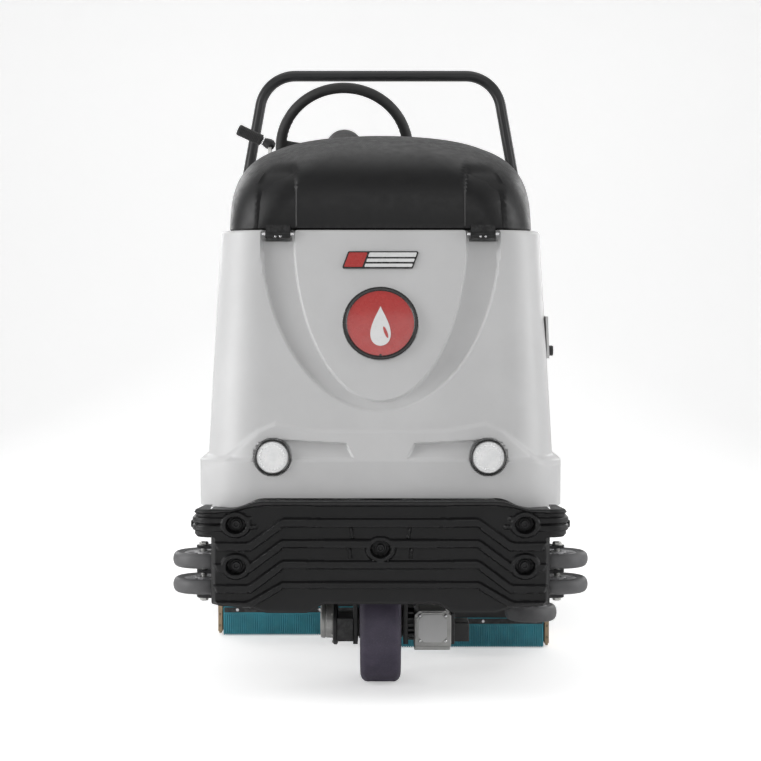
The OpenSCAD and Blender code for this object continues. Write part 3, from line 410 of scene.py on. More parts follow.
class Shape:
    """Many solids of several finishes gathered into one piece, in millimetres."""

    def __init__(self, *mats):
        self.verts, self.faces, self.face_mats, self.mats = [], [], [], list(mats)

    def add(self, verts, faces, mat=None, matrix=None):
        mat = mat or self.mats[0]
        if mat not in self.mats:
            self.mats.append(mat)
        n = len(self.verts)
        if matrix is not None:
            verts = [matrix @ Vector(v) for v in verts]
        self.verts += [tuple(v) for v in verts]
        self.faces += [[i + n for i in f] for f in faces]
        self.face_mats += [self.mats.index(mat)] * len(faces)

    def box(self, low, high, mat=None, matrix=None):
        (a, b, c), (d, e, f) = low, high
        self.add([(a, b, c), (d, b, c), (d, e, c), (a, e, c), (a, b, f), (d, b, f), (d, e, f), (a, e, f)],
                 [(0, 3, 2, 1), (4, 5, 6, 7), (0, 1, 5, 4), (1, 2, 6, 5), (2, 3, 7, 6), (3, 0, 4, 7)], mat,
                 matrix)

    def prism(self, outline, low, high, mat=None, matrix=None):
        """An outline in local X, Y raised along local Z."""
        n = len(outline)
        verts = [(x, y, low) for x, y in outline] + [(x, y, high) for x, y in outline]
        faces = [list(range(n))[::-1], [i + n for i in range(n)]]
        faces += [(i, (i + 1) % n, (i + 1) % n + n, i + n) for i in range(n)]
        self.add(verts, faces, mat, matrix)

    def lathe(self, profile, origin, axis=(0, 0, 1), n=48, mat=None, lobes=None, start=0.0, matrix=None):
        """A closed turned form: profile is (radius, height) from one end to the other."""
        m = matrix if matrix is not None else frame_to(origin, axis)
        verts, rows = [], []
        for r, h in profile:
            if r < 1e-6:
                rows.append([len(verts)])
                verts.append((0, 0, h))
            else:
                rows.append(list(range(len(verts), len(verts) + n)))
                for i in range(n):
                    a = start + 2 * math.pi * i / n
                    rr = r + (lobes(a, h) if lobes else 0)
                    verts.append((rr * math.cos(a), rr * math.sin(a), h))
        faces = []
        for p, q in zip(rows, rows[1:]):
            for i in range(n):
                j = (i + 1) % n
                if len(p) == 1 and len(q) > 1:
                    faces.append((p[0], q[j], q[i]))
                elif len(q) == 1 and len(p) > 1:
                    faces.append((p[i], p[j], q[0]))
                elif len(p) > 1:
                    faces.append((p[i], p[j], q[j], q[i]))
        self.add(verts, faces, mat, m)

    def tube(self, points, radius, sides=16, mat=None, closed=False, caps=True):
        """A swept round: radius is a number or one value per point."""
        pts = [Vector(p) for p in points]
        n = len(pts)
        radii = radius if hasattr(radius, "__len__") else [radius] * n
        tangents = []
        for i in range(n):
            a = pts[(i - 1) % n] if closed or i else pts[0]
            b = pts[(i + 1) % n] if closed or i < n - 1 else pts[-1]
            tangents.append((b - a).normalized())
        side = tangents[0].orthogonal().normalized()
        verts = []
        for i in range(n):
            t = tangents[i]
            side = (side - t * side.dot(t)).normalized()
            other = t.cross(side)
            for k in range(sides):
                a = 2 * math.pi * k / sides
                verts.append(pts[i] + radii[i] * (math.cos(a) * side + math.sin(a) * other))
        faces = []
        for i in range(n if closed else n - 1):
            j = (i + 1) % n
            faces += [(i * sides + k, i * sides + (k + 1) % sides, j * sides + (k + 1) % sides, j * sides + k)
                      for k in range(sides)]
        if caps and not closed:
            faces.append(list(range(sides))[::-1])
            faces.append([(n - 1) * sides + k for k in range(sides)])
        self.add(verts, faces, mat)

    def hex_bolt(self, place, axis, r, h, mat="zinc", washer=True):
        m = frame_to(place, axis)
        if washer:
            self.lathe([(0, 0), (r * 1.35, 0), (r * 1.35, h * 0.18), (0, h * 0.18)], None, n=24, mat=mat,
                       matrix=m)
        self.lathe([(0, h * 0.1), (r, h * 0.15), (r, h * 0.8), (r * 0.86, h), (0, h)], None, n=6, mat=mat,
                   matrix=m)

    def cap_bolt(self, place, axis, r, h, mat="chrome"):
        """A socket head."""
        m = frame_to(place, axis)
        self.lathe([(0, 0), (r, 0), (r, h * 0.85), (r * 0.88, h), (r * 0.52, h), (r * 0.5, h * 0.45),
                    (0, h * 0.45)],
                   None, n=24, mat=mat, matrix=m)

    def screw(self, place, axis, r, h, mat="chrome"):
        """A domed head with a cross slot."""
        m = frame_to(place, axis)
        self.lathe([(0, 0), (r, 0), (r * 0.95, h * 0.45), (r * 0.6, h * 0.9), (0, h)], None, n=20, mat=mat,
                   matrix=m)
        for turn in (0, math.pi / 2):
            self.box((-r * 0.55, -r * 0.1, h * 0.72), (r * 0.55, r * 0.1, h * 1.02), "motor_black",
                     m @ Matrix.Rotation(turn, 4, "Z"))

    def piece(self, name, body, slot, *nodes, angle=35, bevel=0.0, segments=2):
        obj = make_object(name, self.verts, self.faces, self.mats, self.face_mats, angle, bevel, segments)
        return settle(obj, body, slot, *nodes)


def strip(rings, closed=True, cap_start=True, cap_end=True):
    """Quads between rings of equally many points."""
    n = len(rings[0])
    verts = [p for ring in rings for p in ring]
    faces = []
    for i in range(len(rings) - 1):
        for k in range(n if closed else n - 1):
            j = (k + 1) % n
            faces.append((i * n + k, i * n + j, (i + 1) * n + j, (i + 1) * n + k))
    if cap_start:
        faces.append(list(range(n))[::-1])
    if cap_end:
        faces.append([(len(rings) - 1) * n + k for k in range(n)])
    return verts, faces


def plan_ring(half, front, back, radius, counts, crown=0.0, back_radius=20.0):
    """Plan outline of a shell, from the back's middle round by +X, the front and -X.

    Gives (x, y, share of front)."""
    n_back, n_side, n_corner, n_front = counts
    radius = min(radius, half * 0.999, (back - front) * 0.6)
    br = min(back_radius, half * 0.5)
    points = []
    for i in range(n_back):
        points.append(((half - br) * i / n_back, back, 0.0))
    for i in range(8):
        a = math.pi / 2 * i / 8
        points.append((half - br + br * math.sin(a), back - br + br * math.cos(a), 0.0))
    y0, y1 = back - br, front + radius
    for i in range(n_side):
        points.append((half, y0 + (y1 - y0) * i / n_side, 0.0))
    for i in range(n_corner):
        a = math.pi / 2 * i / n_corner
        points.append((half - radius + radius * math.cos(a), front + radius - radius * math.sin(a),
                       math.sin(a)))
    for i in range(n_front // 2):
        points.append(((half - radius) * (1 - 2 * i / n_front), front, 1.0))
    right = [(x, y + crown * (x / max(half, 1)) ** 2 * f, f) for x, y, f in points]
    left = [(-x, y, f) for x, y, f in right[1:]][::-1]
    middle = (0.0, front, 1.0)
    return right + [middle] + left


# ---------------------------------------------------------------- nose body

TANK_LOW, TANK_HIGH = box_mm("solution_tank")
LID_HIGH = box_mm("lid")[1]
BUMPER_LOW, BUMPER_HIGH = box_mm("front_bumper")
FASCIA_T = 10.0
FOOT_Y = TANK_LOW[1] + FASCIA_T
BACK_Y = TANK_HIGH[1]
TOP_Z = TANK_HIGH[2]
KNEE_Z = 480.0
LEAN = 134.0
LEDGE_Z = (475.0, 487.0)
HALF_LEDGE = TANK_HIGH[0]
HALF_LOW = HALF_LEDGE - 17.5
HALF_TOP = HALF_LOW - 17.0
BODY_Z = 407.0
DIP_Z = 384.0
LAMP = (216.0, 489.0, 37.2)
HINGE = (212.0, 28.0, 927.0)
FASCIA_LINE = [(0, 540), (130, 541), (200, 554), (212, 556), (245, 541), (322, 478), (345, 470)]
SLOT_SHAPE = [(203, 523), (69, 516), (53, 486), (180, 486)]
NOSE_COUNTS = (24, 40, 34, 320)


def face_y(z):
    return FOOT_Y + max(0.0, z - KNEE_Z) * LEAN / (TOP_Z - KNEE_Z)


def inside_by(outline, x, z):
    """Distance inside a convex outline, negative outside."""
    best = 1e9
    sign = 0
    for (xa, za), (xb, zb) in zip(outline, outline[1:] + outline[:1]):
        ex, ez = xb - xa, zb - za
        d = (ex * (z - za) - ez * (x - xa)) / math.hypot(ex, ez)
        sign = sign or (1 if sum((q[0] - xa) * -ez + (q[1] - za) * ex for q in outline) > 0 else -1)
        best = min(best, d * sign)
    return best


def ellipse_in(x, dz, a, b):
    """Distance inside a half ellipse that hangs from the top edge."""
    rho = math.hypot(x / a, dz / b)
    if rho < 1e-4:
        return min(a, b)
    slope = math.hypot(x / a ** 2, dz / b ** 2) / rho
    return (1 - rho) / slope


def nose_sunk(x, z):
    """How far the front face stands back from its plain form, in millimetres."""
    ax = abs(x)
    depth = 0.0
    dz = TOP_Z - z
    outer = ellipse_in(ax, dz, 248, 370)
    inner = ellipse_in(ax, dz, 180, 351)
    low = smooth((dz - 250) / 120)
    if outer > -6:
        depth += 15.0 * (1 - 0.62 * low) * smooth((outer + 1.5) / 4.5) * (1 - smooth((inner + 2) / 5) * 0.95)
    line = along(FASCIA_LINE, ax)
    depth -= FASCIA_T * smooth((line - z + 5) / 11)
    slot = inside_by(SLOT_SHAPE, ax, z)
    if slot > -2:
        depth += 12.0 * smooth((slot + 1.5) / 5) * (0.30 + 0.70 * smooth((z - 484) / 30))
    lamp = math.hypot(ax - LAMP[0], z - LAMP[1])
    if lamp < LAMP[2] + 3:
        depth += 10.0 * smooth((LAMP[2] + 1 - lamp) / 2.5)
    if z > HINGE[2] - 2 and abs(ax - HINGE[0]) < HINGE[1] + 2:
        depth += 20.0 * smooth((HINGE[1] + 1 - abs(ax - HINGE[0])) / 2.5) * smooth((z - HINGE[2] + 1) / 2.5)
    return depth


def nose_half(z):
    t = (z - LEDGE_Z[1]) / (TOP_Z - LEDGE_Z[1])
    plain = HALF_LOW - (HALF_LOW - HALF_TOP) * max(0.0, t)
    return plain + (HALF_LEDGE - HALF_LOW) * smooth((LEDGE_Z[1] + 2 - z) / 13)


def nose_body():
    rows = []
    zs = [BODY_Z + 2.0 * i for i in range(int((TOP_Z - 8 - BODY_Z) / 2.0) + 1)]
    for i, z in enumerate(zs):
        ring = plan_ring(nose_half(z), face_y(z), BACK_Y, 118 - 20 * (z - BODY_Z) / 540, NOSE_COUNTS, 9)
        row = []
        for x, y, f in ring:
            zz = z
            if z < 430:  # the foot dips towards the corners, above the bumper's wings
                dip = (BODY_Z - DIP_Z) * smooth((abs(x) - 232) / 70)
                zz = z - dip * (430 - z) / (430 - BODY_Z)
            low, amount = f, nose_sunk(x, z) if f > 0 else 0.0
            row.append((x, y + amount * low, zz))
        rows.append(row)
    # top edge rolls over
    last = rows[-1]
    for k in range(1, 7):
        a = math.pi / 2 * k / 6
        ring = []
        for x, y, z in last:
            cx, cy = 0.0, (face_y(TOP_Z) + BACK_Y) / 2
            d = math.hypot(x - cx, y - cy)
            inward = 8 * (1 - math.cos(a)) / d
            ring.append((x - (x - cx) * inward, y - (y - cy) * inward,
                         zs[-1] + (TOP_Z - zs[-1]) * math.sin(a)))
        rows.append(ring)
    top_front = face_y(TOP_Z)

    def plain_ring(half, front, back, radius, z):
        return [(x, y, z) for x, y, f in plan_ring(half, front, back, radius, NOSE_COUNTS, 0, radius)]

    mouth_half, mouth_front, mouth_back = 290, top_front + 40, BACK_Y - 36
    rows.append(plain_ring(mouth_half + 2, mouth_front - 2, mouth_back + 2, 32, TOP_Z))
    rows.append(plain_ring(mouth_half, mouth_front, mouth_back, 30, TOP_Z - 2))
    rows.append(plain_ring(mouth_half, mouth_front, mouth_back, 30, TOP_Z - 10))
    wall = 10
    for z in (TOP_Z - 11, 700, 500, 450, 436):
        inset = wall + (14 if z < TOP_Z - 20 else 20)
        rows.append(plain_ring(nose_half(max(z, 490)) - inset, face_y(z) + inset + 8, BACK_Y - wall, 80, z))
    verts, faces = strip(rows, cap_start=False)
    # underside between the outer foot and the floor of the tank
    body = Shape("grey_shell")
    body.add(verts, faces)
    n = len(rows[0])
    under = [(x * 0.97, y + (8 if y < -400 else -8), z + 3) for x, y, z in rows[0]]
    body.add(rows[0] + under, [(k, k + n, (k + 1) % n + n, (k + 1) % n) for k in range(n)] +
             [[k + n for k in range(n)]])
    drive_y = FOOT_Y + 180
    body.box((-287, drive_y + 172, TANK_LOW[2]), (287, BACK_Y - 1, DIP_Z + 10))
    obj = body.piece("nose_body", "chassis", "grey_shell", "solution_tank", angle=42)
    # shelf under the filter basket
    lo, hi = box_mm("filter_basket")
    cx, cy = 0.0, (lo[1] + hi[1]) / 2
    shelf = Shape("grey_shell")
    ring_in = [(cx + 71 * math.cos(a), cy + 71 * math.sin(a))
               for a in [2 * math.pi * i / 64 for i in range(64)]]
    ring_out = []
    for x, y in ring_in:
        a = math.atan2(y - cy, x - cx)
        s = min(300 / max(1e-6, abs(math.cos(a))), 88 / max(1e-6, abs(math.sin(a))))
        ring_out.append((cx + s * math.cos(a), cy + s * math.sin(a)))
    loops = [[(x, y, z) for x, y in ring] for ring, z in ((ring_in, 900), (ring_in, 908), (ring_out, 908),
                                                          (ring_out, 900), (ring_in, 900))]
    shelf.add(*strip(loops, cap_start=False, cap_end=False))
    shelf.piece("basket_shelf", "chassis", "grey_shell", bevel=0.8)
    return obj


nose_body()


# ---------------------------------------------------------------- lid

LID_Z = TOP_Z + 4.0
LID_HALF = LID_HIGH[0]
LID_RISE = LID_HIGH[2] - LID_Z
LID_FRONT = face_y(TOP_Z) + 6
LID_CREST = LID_FRONT + 290
LID_BACK = LID_HIGH[1]
LID_COUNTS = (24, 30, 34, 300)


def lid_width(t):
    """Half width and height of the lid's front outline at a share of its rise angle."""
    a = math.pi / 2 * t
    return LID_HALF * math.cos(a) ** 0.645, LID_RISE * math.sin(a) ** 0.645


def lid_sunk(x, h):
    ax = abs(x)
    edge = 259 - max(0.0, h - 96) * 0.55
    depth = 10.0 * smooth((ax - 174) / 7) * smooth((edge - ax) / 10) * smooth((146 - h) / 30)
    if h < 26:
        strap = smooth((ax - 184) / 3) * smooth((242 - ax) / 3)
        depth -= 3.0 * strap
    return depth


def lid_shell():
    rows, inner = [], []
    steps = 84
    for i in range(steps):
        t = (i / steps) ** 1.25
        half, h = lid_width(t)
        a = math.pi / 2 * t
        front = LID_CREST - (LID_CREST - LID_FRONT) * math.cos(a) ** 1.02
        back = LID_BACK - 22 * (1 - math.cos(a)) ** 2
        radius = min(half * 0.99, 96 + h * 0.55)
        row = []
        for x, y, f in plan_ring(half, front, back, radius, LID_COUNTS, 8 * math.cos(a), 26):
            amount = lid_sunk(x, h) * f if f > 0.6 else 0.0
            rise = amount * 0.35 * math.sin(a)
            row.append((x, y + amount * math.cos(a * 0.7), LID_Z + h - rise))
        rows.append(row)
        if i % 6 == 0:
            inset = 6
            inner.append([(x * (half - inset) / half, y + (inset if f > 0 else -inset),
                           LID_Z + max(0, h - inset))
                          for x, y, f in plan_ring(half, front, back - 2, radius, LID_COUNTS, 0, 26)])
    # rounded lip at the foot
    foot = rows[0]
    lip = [[(x * k, y + (1 - k) * 300 * (1 if y < -400 else -1) * 0.5, LID_Z + dz) for x, y, z in foot]
           for k, dz in ((0.985, 0.0), (0.995, 0.8))]
    rows = lip + rows
    shell = Shape("black_shell")
    verts, faces = strip(rows, cap_start=False)
    shell.add(verts, faces)
    inner[0] = [(x, y, LID_Z) for x, y, z in inner[0]]
    loops = [lip[0]] + inner
    shell.add(*strip(loops, cap_start=False))
    # hinge straps down into the body, with their knuckles
    for side in (-1, 1):
        cx = side * HINGE[0]
        y0 = face_y(TOP_Z) - 10
        shell.box((cx - 25, y0, HINGE[2] + 4), (cx + 25, y0 + 5, LID_Z + 6))
        shell.box((cx - 25, y0 + 1, TOP_Z + 1), (cx + 25, y0 + 26, LID_Z + 5))
        shell.lathe([(0, 0), (7.6, 0), (8, 0.6), (8, 51.4), (7.6, 52), (0, 52)], (cx - 26, -650, 940),
                    (1, 0, 0), 28)
        for off in (-5, 5):
            shell.screw((cx + off, y0, 935), (0, -1, 0), 2.6, 2.2)
    shell.piece("lid_shell", "lid", "black_shell", "lid", angle=40)
    restyle("lid_seal", 1.2)
    restyle("hinge_pins", 0.5)


lid_shell()


# ---------------------------------------------------------------- bumper

FRONT_Y = BUMPER_LOW[1]
BOLTS = [(-288, 356), (288, 356), (-288, 273), (288, 273), (0, 308)]
RIBS = [(370, 18, 48, 332), (328, 17, 49, 332), (286, 17, 49, 334), (244, 14, 40, 330)]
EDGE = [(0, 197), (112, 197), (120, 194), (140, 181), (148, 179), (228, 179), (240, 182), (266, 190),
        (338, 196)]
BUMPER_TOP = 405.0


def rib_top(rib, ax):
    top, _, drop, _ = rib
    return along([(0, top), (193, top), (200, top - 3), (258, top - drop + 3), (266, top - drop),
                  (340, top - drop)], ax)


def bumper_out(x, z):
    """How far the bumper's face stands forward of its sunk ground, in millimetres."""
    ax = abs(x)
    out = 0.0
    for rib in RIBS:
        _, height, _, wing = rib
        t = rib_top(rib, ax)
        end = wing - max(0.0, (t - z)) * 0.5
        steep = 1.18 if 197 < ax < 262 else 1.0
        h = height * steep
        if t + 3 > z > t - h - 26:
            side = smooth((end - ax + 3) / 6)
            up = smooth((t - z + 1) / 4.5) * smooth((z - (t - h) + 1.2) / 2.6)
            under = smooth((z - (t - h - 24)) / 22) if z < t - h else 0.0
            out = max(out, 8.5 * up * side)
            if z < t - h + 1:
                out -= 2.6 * under * side
    # flange line under the top edge
    line = along([(0, 393), (232, 393), (262, 389), (300, 379), (383, 376)], ax)
    out = max(out, 8.5 * smooth((z - line) / 4.0))
    # wing ribs
    if ax > 300:
        for z0 in (364, 349):
            if abs(z - z0) < 9:
                out = max(out, 4.5 * smooth((8 - abs(z - z0)) / 4) * smooth((ax - 302) / 10))
    # short spurs beside the upper bolts
    for z0, half in ((369, 3.5), (352, 3.5)):
        if abs(z - z0) < half + 4 and 240 < ax < 284:
            out = max(out, 5.5 * smooth((half + 2 - abs(z - z0)) / 3)
                      * smooth((ax - 242 - abs(z0 - 352) * 0.6) / 8))
    # thin ties between the ribs beside the middle bolt
    for x0, z0, z1 in ((56, 332, 352), (60, 292, 312)):
        xx = x0 + (z - z0) * 0.12
        if z0 - 2 < z < z1 + 2 and abs(ax - xx) < 4:
            out = max(out, 6.0 * smooth((3.2 - abs(ax - xx)) / 1.6))
    # boss and sunk oval of each bolt
    for bx, bz in BOLTS:
        d = math.hypot((x - bx) / 1.18, z - bz)
        if d < 30:
            out = max(out, 7.5 * smooth((27 - d) / 3.5))
            out -= 24 * smooth((17.5 - d) / 2.2)
    return out


def bumper():
    ground = FRONT_Y + 10.5
    body = Shape("black_shell")
    # main panel
    half, cols, rows = 338.0, 340, 120
    xs = [-half + 2 * half * i / cols for i in range(cols + 1)]
    zb_line = [along(EDGE, abs(x)) for x in xs]
    z_top = [BUMPER_TOP - (2 if abs(x) < 232 else 2 + 16 * smooth((abs(x) - 232) / 70)) for x in xs]
    rings = []
    for j in range(rows + 1):
        ring = []
        for i, x in enumerate(xs):
            z = zb_line[i] + (z_top[i] - zb_line[i]) * j / rows
            round_edge = 5 * (1 - smooth((z - zb_line[i]) / 7)) + 6 * (1 - smooth((z_top[i] - z) / 7))
            round_side = 8 * (1 - smooth((half - abs(x)) / 9)) if z < 330 else 0.0
            crown = 5.0 * (x / half) ** 2
            ring.append((x, ground - bumper_out(x, z) + round_edge + round_side + crown, z))
        rings.append(ring)
    verts, faces = strip(rings, closed=False, cap_start=False, cap_end=False)
    body.add(verts, faces)
    back_y = FRONT_Y + 36
    # edges back to the rear face of the wall
    def wall(points):
        deep = [(x * (0.995 if abs(x) > 300 else 1), back_y, z) for x, y, z in points]
        n = len(points)
        body.add(points + deep, [(k, k + 1, k + 1 + n, k + n) for k in range(n - 1)])
    wall(rings[0])
    wall([r[0] for r in rings if r[0][2] < 332])
    wall([r[-1] for r in rings if r[-1][2] < 332])
    # top shelf back to the nose body
    top = rings[-1]
    shelf = [(x * 0.99, FOOT_Y - 6 if abs(x) < 300 else FOOT_Y - 6 + 18 * smooth((abs(x) - 300) / 38), z + 1)
             for x, y, z in top]
    n = len(top)
    body.add(top + shelf, [(k, k + 1, k + 1 + n, k + n) for k in range(n - 1)])
    # wings wrap round the corners
    for side in (-1, 1):
        path = []
        r = 45.0
        cx, cy = BUMPER_HIGH[0] - r, FRONT_Y + 5 + r
        for i in range(25):
            a = math.pi / 2 * i / 24
            path.append((cx + r * math.sin(a), cy - r * math.cos(a), math.sin(a), -math.cos(a)))
        side_len = 140
        for i in range(1, 36):
            path.append((cx + r, cy + side_len * i / 35, 1.0, 0.0))
        grid = []
        for j in range(39):
            row = []
            for k, (px, py, nx, ny) in enumerate(path):
                low = 330.0 if py < FRONT_Y + 120 else 330 + 42 * smooth((py - FRONT_Y - 112) / 16)
                high = 387.0 - 14 * smooth((px - 371) / 12)
                z = low + (high - low) * j / 38
                out = bumper_out(339 + (k * 1.2 if k < 25 else 30), z) - 10
                out += -4 * (1 - smooth((high - z) / 6)) - 4 * (1 - smooth((z - low) / 6))
                out = min(0.0, out)
                row.append((side * (px + nx * out), py + ny * out, z))
            grid.append(row)
        thick = 10
        inner = [[(x - side * thick * (1 if k > 12 else k / 12),
                   y + thick * (1 if k < 12 else max(0, 1 - (k - 12) / 12)), z)
                  for k, (x, y, z) in enumerate(row)] for row in grid]
        verts, faces = strip(grid, closed=False, cap_start=False, cap_end=False)
        body.add(verts, faces)
        verts, faces = strip(inner, closed=False, cap_start=False, cap_end=False)
        body.add(verts, faces)
        for a, b in ((grid[0], inner[0]), (grid[-1], inner[-1]),
                     ([g[-1] for g in grid], [g[-1] for g in inner])):
            m = len(a)
            body.add(list(a) + list(b), [(k, k + 1, k + 1 + m, k + m) for k in range(m - 1)])
        # top of the wing meets the nose body's ledge
        lid_row = grid[-1]
        m = len(lid_row)
        meet = [(side * min(abs(x), HALF_LEDGE - 20), max(y, FOOT_Y + 12), z + 5) for x, y, z in lid_row]
        body.add(lid_row + meet, [(k, k + 1, k + 1 + m, k + m) for k in range(m - 1)])
        # rubber button on the side
        body.lathe([(0, 0), (7, 0), (8, 1.5), (8, 3.5), (6.5, 5.5), (0, 6)],
                   (side * (BUMPER_HIGH[0] - 6), FRONT_Y + 70, 352), (side, 0, 0), 24, "seal_rubber")
    body.piece("bumper_shell", "chassis", "black_shell", "front_bumper", angle=34)

    fix = Shape("zinc", "motor_black")
    for bx, bz in BOLTS:
        fix.lathe([(0, 0), (12.5, 0), (12.5, 4), (11.5, 5), (0, 5)], (bx, FRONT_Y + 31, bz), (0, -1, 0), 28,
                  "motor_black")
        fix.cap_bolt((bx, FRONT_Y + 27, bz), (0, -1, 0), 8.5, 8, "motor_black")
    rx, ry = ROLLER_X, ROLLER_Y
    for side in (-1, 1):
        low_z, high_z = ROLLER_Z
        fix.box((side * 287 - (0 if side > 0 else 6), ry - 28, low_z - 28),
                (side * 287 + (6 if side > 0 else 0), ry + 28, high_z + 27), "black_steel")
        for z in (low_z - 28, (low_z + high_z) / 2 - 3, high_z + 21):
            outline = [(287 * side, ry - 26), (rx * side, ry - 15), ((rx + 12) * side, ry - 9),
                       ((rx + 15) * side, ry),
                       ((rx + 12) * side, ry + 9), (rx * side, ry + 15), (287 * side, ry + 26)]
            fix.prism(outline if side > 0 else outline[::-1], z, z + 6, "black_steel")
        fix.lathe([(0, 0), (5.9, 0), (5.9, 110), (0, 110)], (side * rx, ry, low_z - 33), (0, 0, 1), 24,
                  "zinc")
        fix.hex_bolt((side * rx, ry, high_z + 27), (0, 0, 1), 9.5, 7)
        fix.hex_bolt((side * rx, ry, low_z - 28), (0, 0, -1), 9, 7)
    fix.piece("bumper_bolts", "chassis", "zinc", "bumper_fixings", bevel=0.5)


def roller(node, tyre_slot="grey_tyre"):
    low, high = box_mm(node)
    cx, cy, cz = [(a + b) / 2 for a, b in zip(low, high)]
    r, h = (high[0] - low[0]) / 2, (high[2] - low[2]) / 2
    core = r * 0.64
    s = Shape("grey_tyre", "hub_grey")
    tyre = [(core, -h + 2), (r * 0.80, -h + 0.5)]
    for i in range(13):
        a = -math.pi / 2 + math.pi * i / 12
        tyre.append((r * 0.82 + r * 0.18 * math.cos(a) ** 0.8 if abs(math.cos(a)) > 1e-6 else r * 0.82,
                     h * math.sin(a)))
    tyre += [(r * 0.80, h - 0.5), (core, h - 2)]
    ring = tyre + [(core - 1, 0)]
    s.lathe(ring + [ring[0]], (cx, cy, cz), (0, 0, 1), 72)
    # hub: dished disc with ribs and a raised boss
    hub = [(core + 1, -h + 4), (core + 1, h - 4), (core - 2, h - 2.2), (r * 0.44, h - 5), (r * 0.30, h - 4.5),
           (r * 0.27, h - 1), (r * 0.16, h - 0.6), (r * 0.16, -h + 0.6), (r * 0.27, -h + 1),
           (r * 0.30, -h + 4.5),
           (r * 0.44, -h + 5), (core - 2, -h + 2.2), (core + 1, -h + 4)]
    s.lathe(hub, (cx, cy, cz), (0, 0, 1), 72, "hub_grey")
    for i in range(8):
        m = Matrix.Translation((cx, cy, cz)) @ Matrix.Rotation(math.pi / 4 * i, 4, "Z")
        for z in (h - 5.5, -h + 2.6):
            s.box((r * 0.28, -1.6, z), (core - 1, 1.6, z + 2.9), "hub_grey", m)
    s.piece(node + "_wheel", BODY[node], tyre_slot, node, angle=40)


R_LOW, R_HIGH = box_mm("roller_high_left")
ROLLER_X = (R_LOW[0] + R_HIGH[0]) / 2
ROLLER_Y = (R_LOW[1] + R_HIGH[1]) / 2
ROLLER_Z = ((box_mm("roller_low_left")[0][2] + box_mm("roller_low_left")[1][2]) / 2,
            (R_LOW[2] + R_HIGH[2]) / 2)
bumper()
for node in ("roller_high_left", "roller_low_left", "roller_high_right", "roller_low_right", "deck_roller"):
    roller(node)


# ---------------------------------------------------------------- lamps and badges

def lamps():
    ring, lens = Shape("lamp_ring"), Shape("lamp_lens", "chrome", "white_ink")
    high = box_mm("headlamp_rings")[1]
    r = LAMP[2] - 0.7
    for side in (-1, 1):
        place = (side * LAMP[0], high[1], LAMP[1])
        ring.lathe([(r - 4.5, 0), (r - 0.4, 0), (r, 1), (r, 7.5), (r - 0.8, 9.2), (r - 2.2, 9.9),
                    (r - 3.6, 9.2),
                    (r - 4.5, 7.4), (r - 4.5, 0)], place, (0, -1, 0), 72)
        # facets: rings of small raised prisms round a bright middle
        lens.lathe([(0, 0), (r - 4.6, 0), (r - 4.6, 6.2), (r - 6.2, 7.6), (r * 0.58, 8.4), (r * 0.2, 8.8),
                    (0, 8.9)],
                   place, (0, -1, 0), 72)
        m = frame_to(place, (0, -1, 0))
        for row, count, r0, r1 in ((0, 26, 20.5, 28.5), (1, 18, 11.5, 19.5), (2, 10, 4.5, 10.5)):
            for i in range(count):
                a0 = 2 * math.pi * (i + 0.08) / count
                a1 = 2 * math.pi * (i + 0.92) / count
                am, rm = (a0 + a1) / 2, (r0 + r1) / 2
                z0, z1 = 7.2, 9.6 - row * 0.1
                pts = [(rr * math.cos(a), rr * math.sin(a), z0) for rr,
                       a in ((r0, a0), (r1, a0), (r1, a1), (r0, a1))]
                pts.append((rm * math.cos(am), rm * math.sin(am), z1))
                lens.add(pts, [(3, 2, 1, 0), (0, 1, 4), (1, 2, 4), (2, 3, 4), (3, 0, 4)], "lamp_lens", m)
    ring.piece("lamp_rings", "chassis", "lamp_ring", "headlamp_rings", angle=50)
    lens.piece("lamp_lenses", "chassis", "lamp_lens", "headlamp_lenses", angle=20)


def on_face_matrix(x, z, off=0.0):
    """Matrix of the leaning front face, +Z outwards, +Y up the face."""
    lean = math.atan2(LEAN, TOP_Z - KNEE_Z)
    out = Vector((0, -math.cos(lean), math.sin(lean)))
    up = Vector((0, math.sin(lean), math.cos(lean)))
    m = Matrix((Vector((1, 0, 0)), up, out)).transposed().to_4x4()
    m.translation = Vector((x, face_y(z), z)) + out * off
    return m


def round_outline(points, radius, n=5):
    """Convex outline with rounded corners."""
    out = []
    k = len(points)
    for i in range(k):
        p, q, r = Vector(points[i - 1]), Vector(points[i]), Vector(points[(i + 1) % k])
        a, b = (p - q).normalized(), (r - q).normalized()
        cut = radius / math.tan(max(0.2, a.angle(b) / 2))
        start, end = q + a * cut, q + b * cut
        for j in range(n + 1):
            t = j / n
            out.append(tuple((start * (1 - t) ** 2 + q * 2 * t * (1 - t) + end * t ** 2)))
    return out


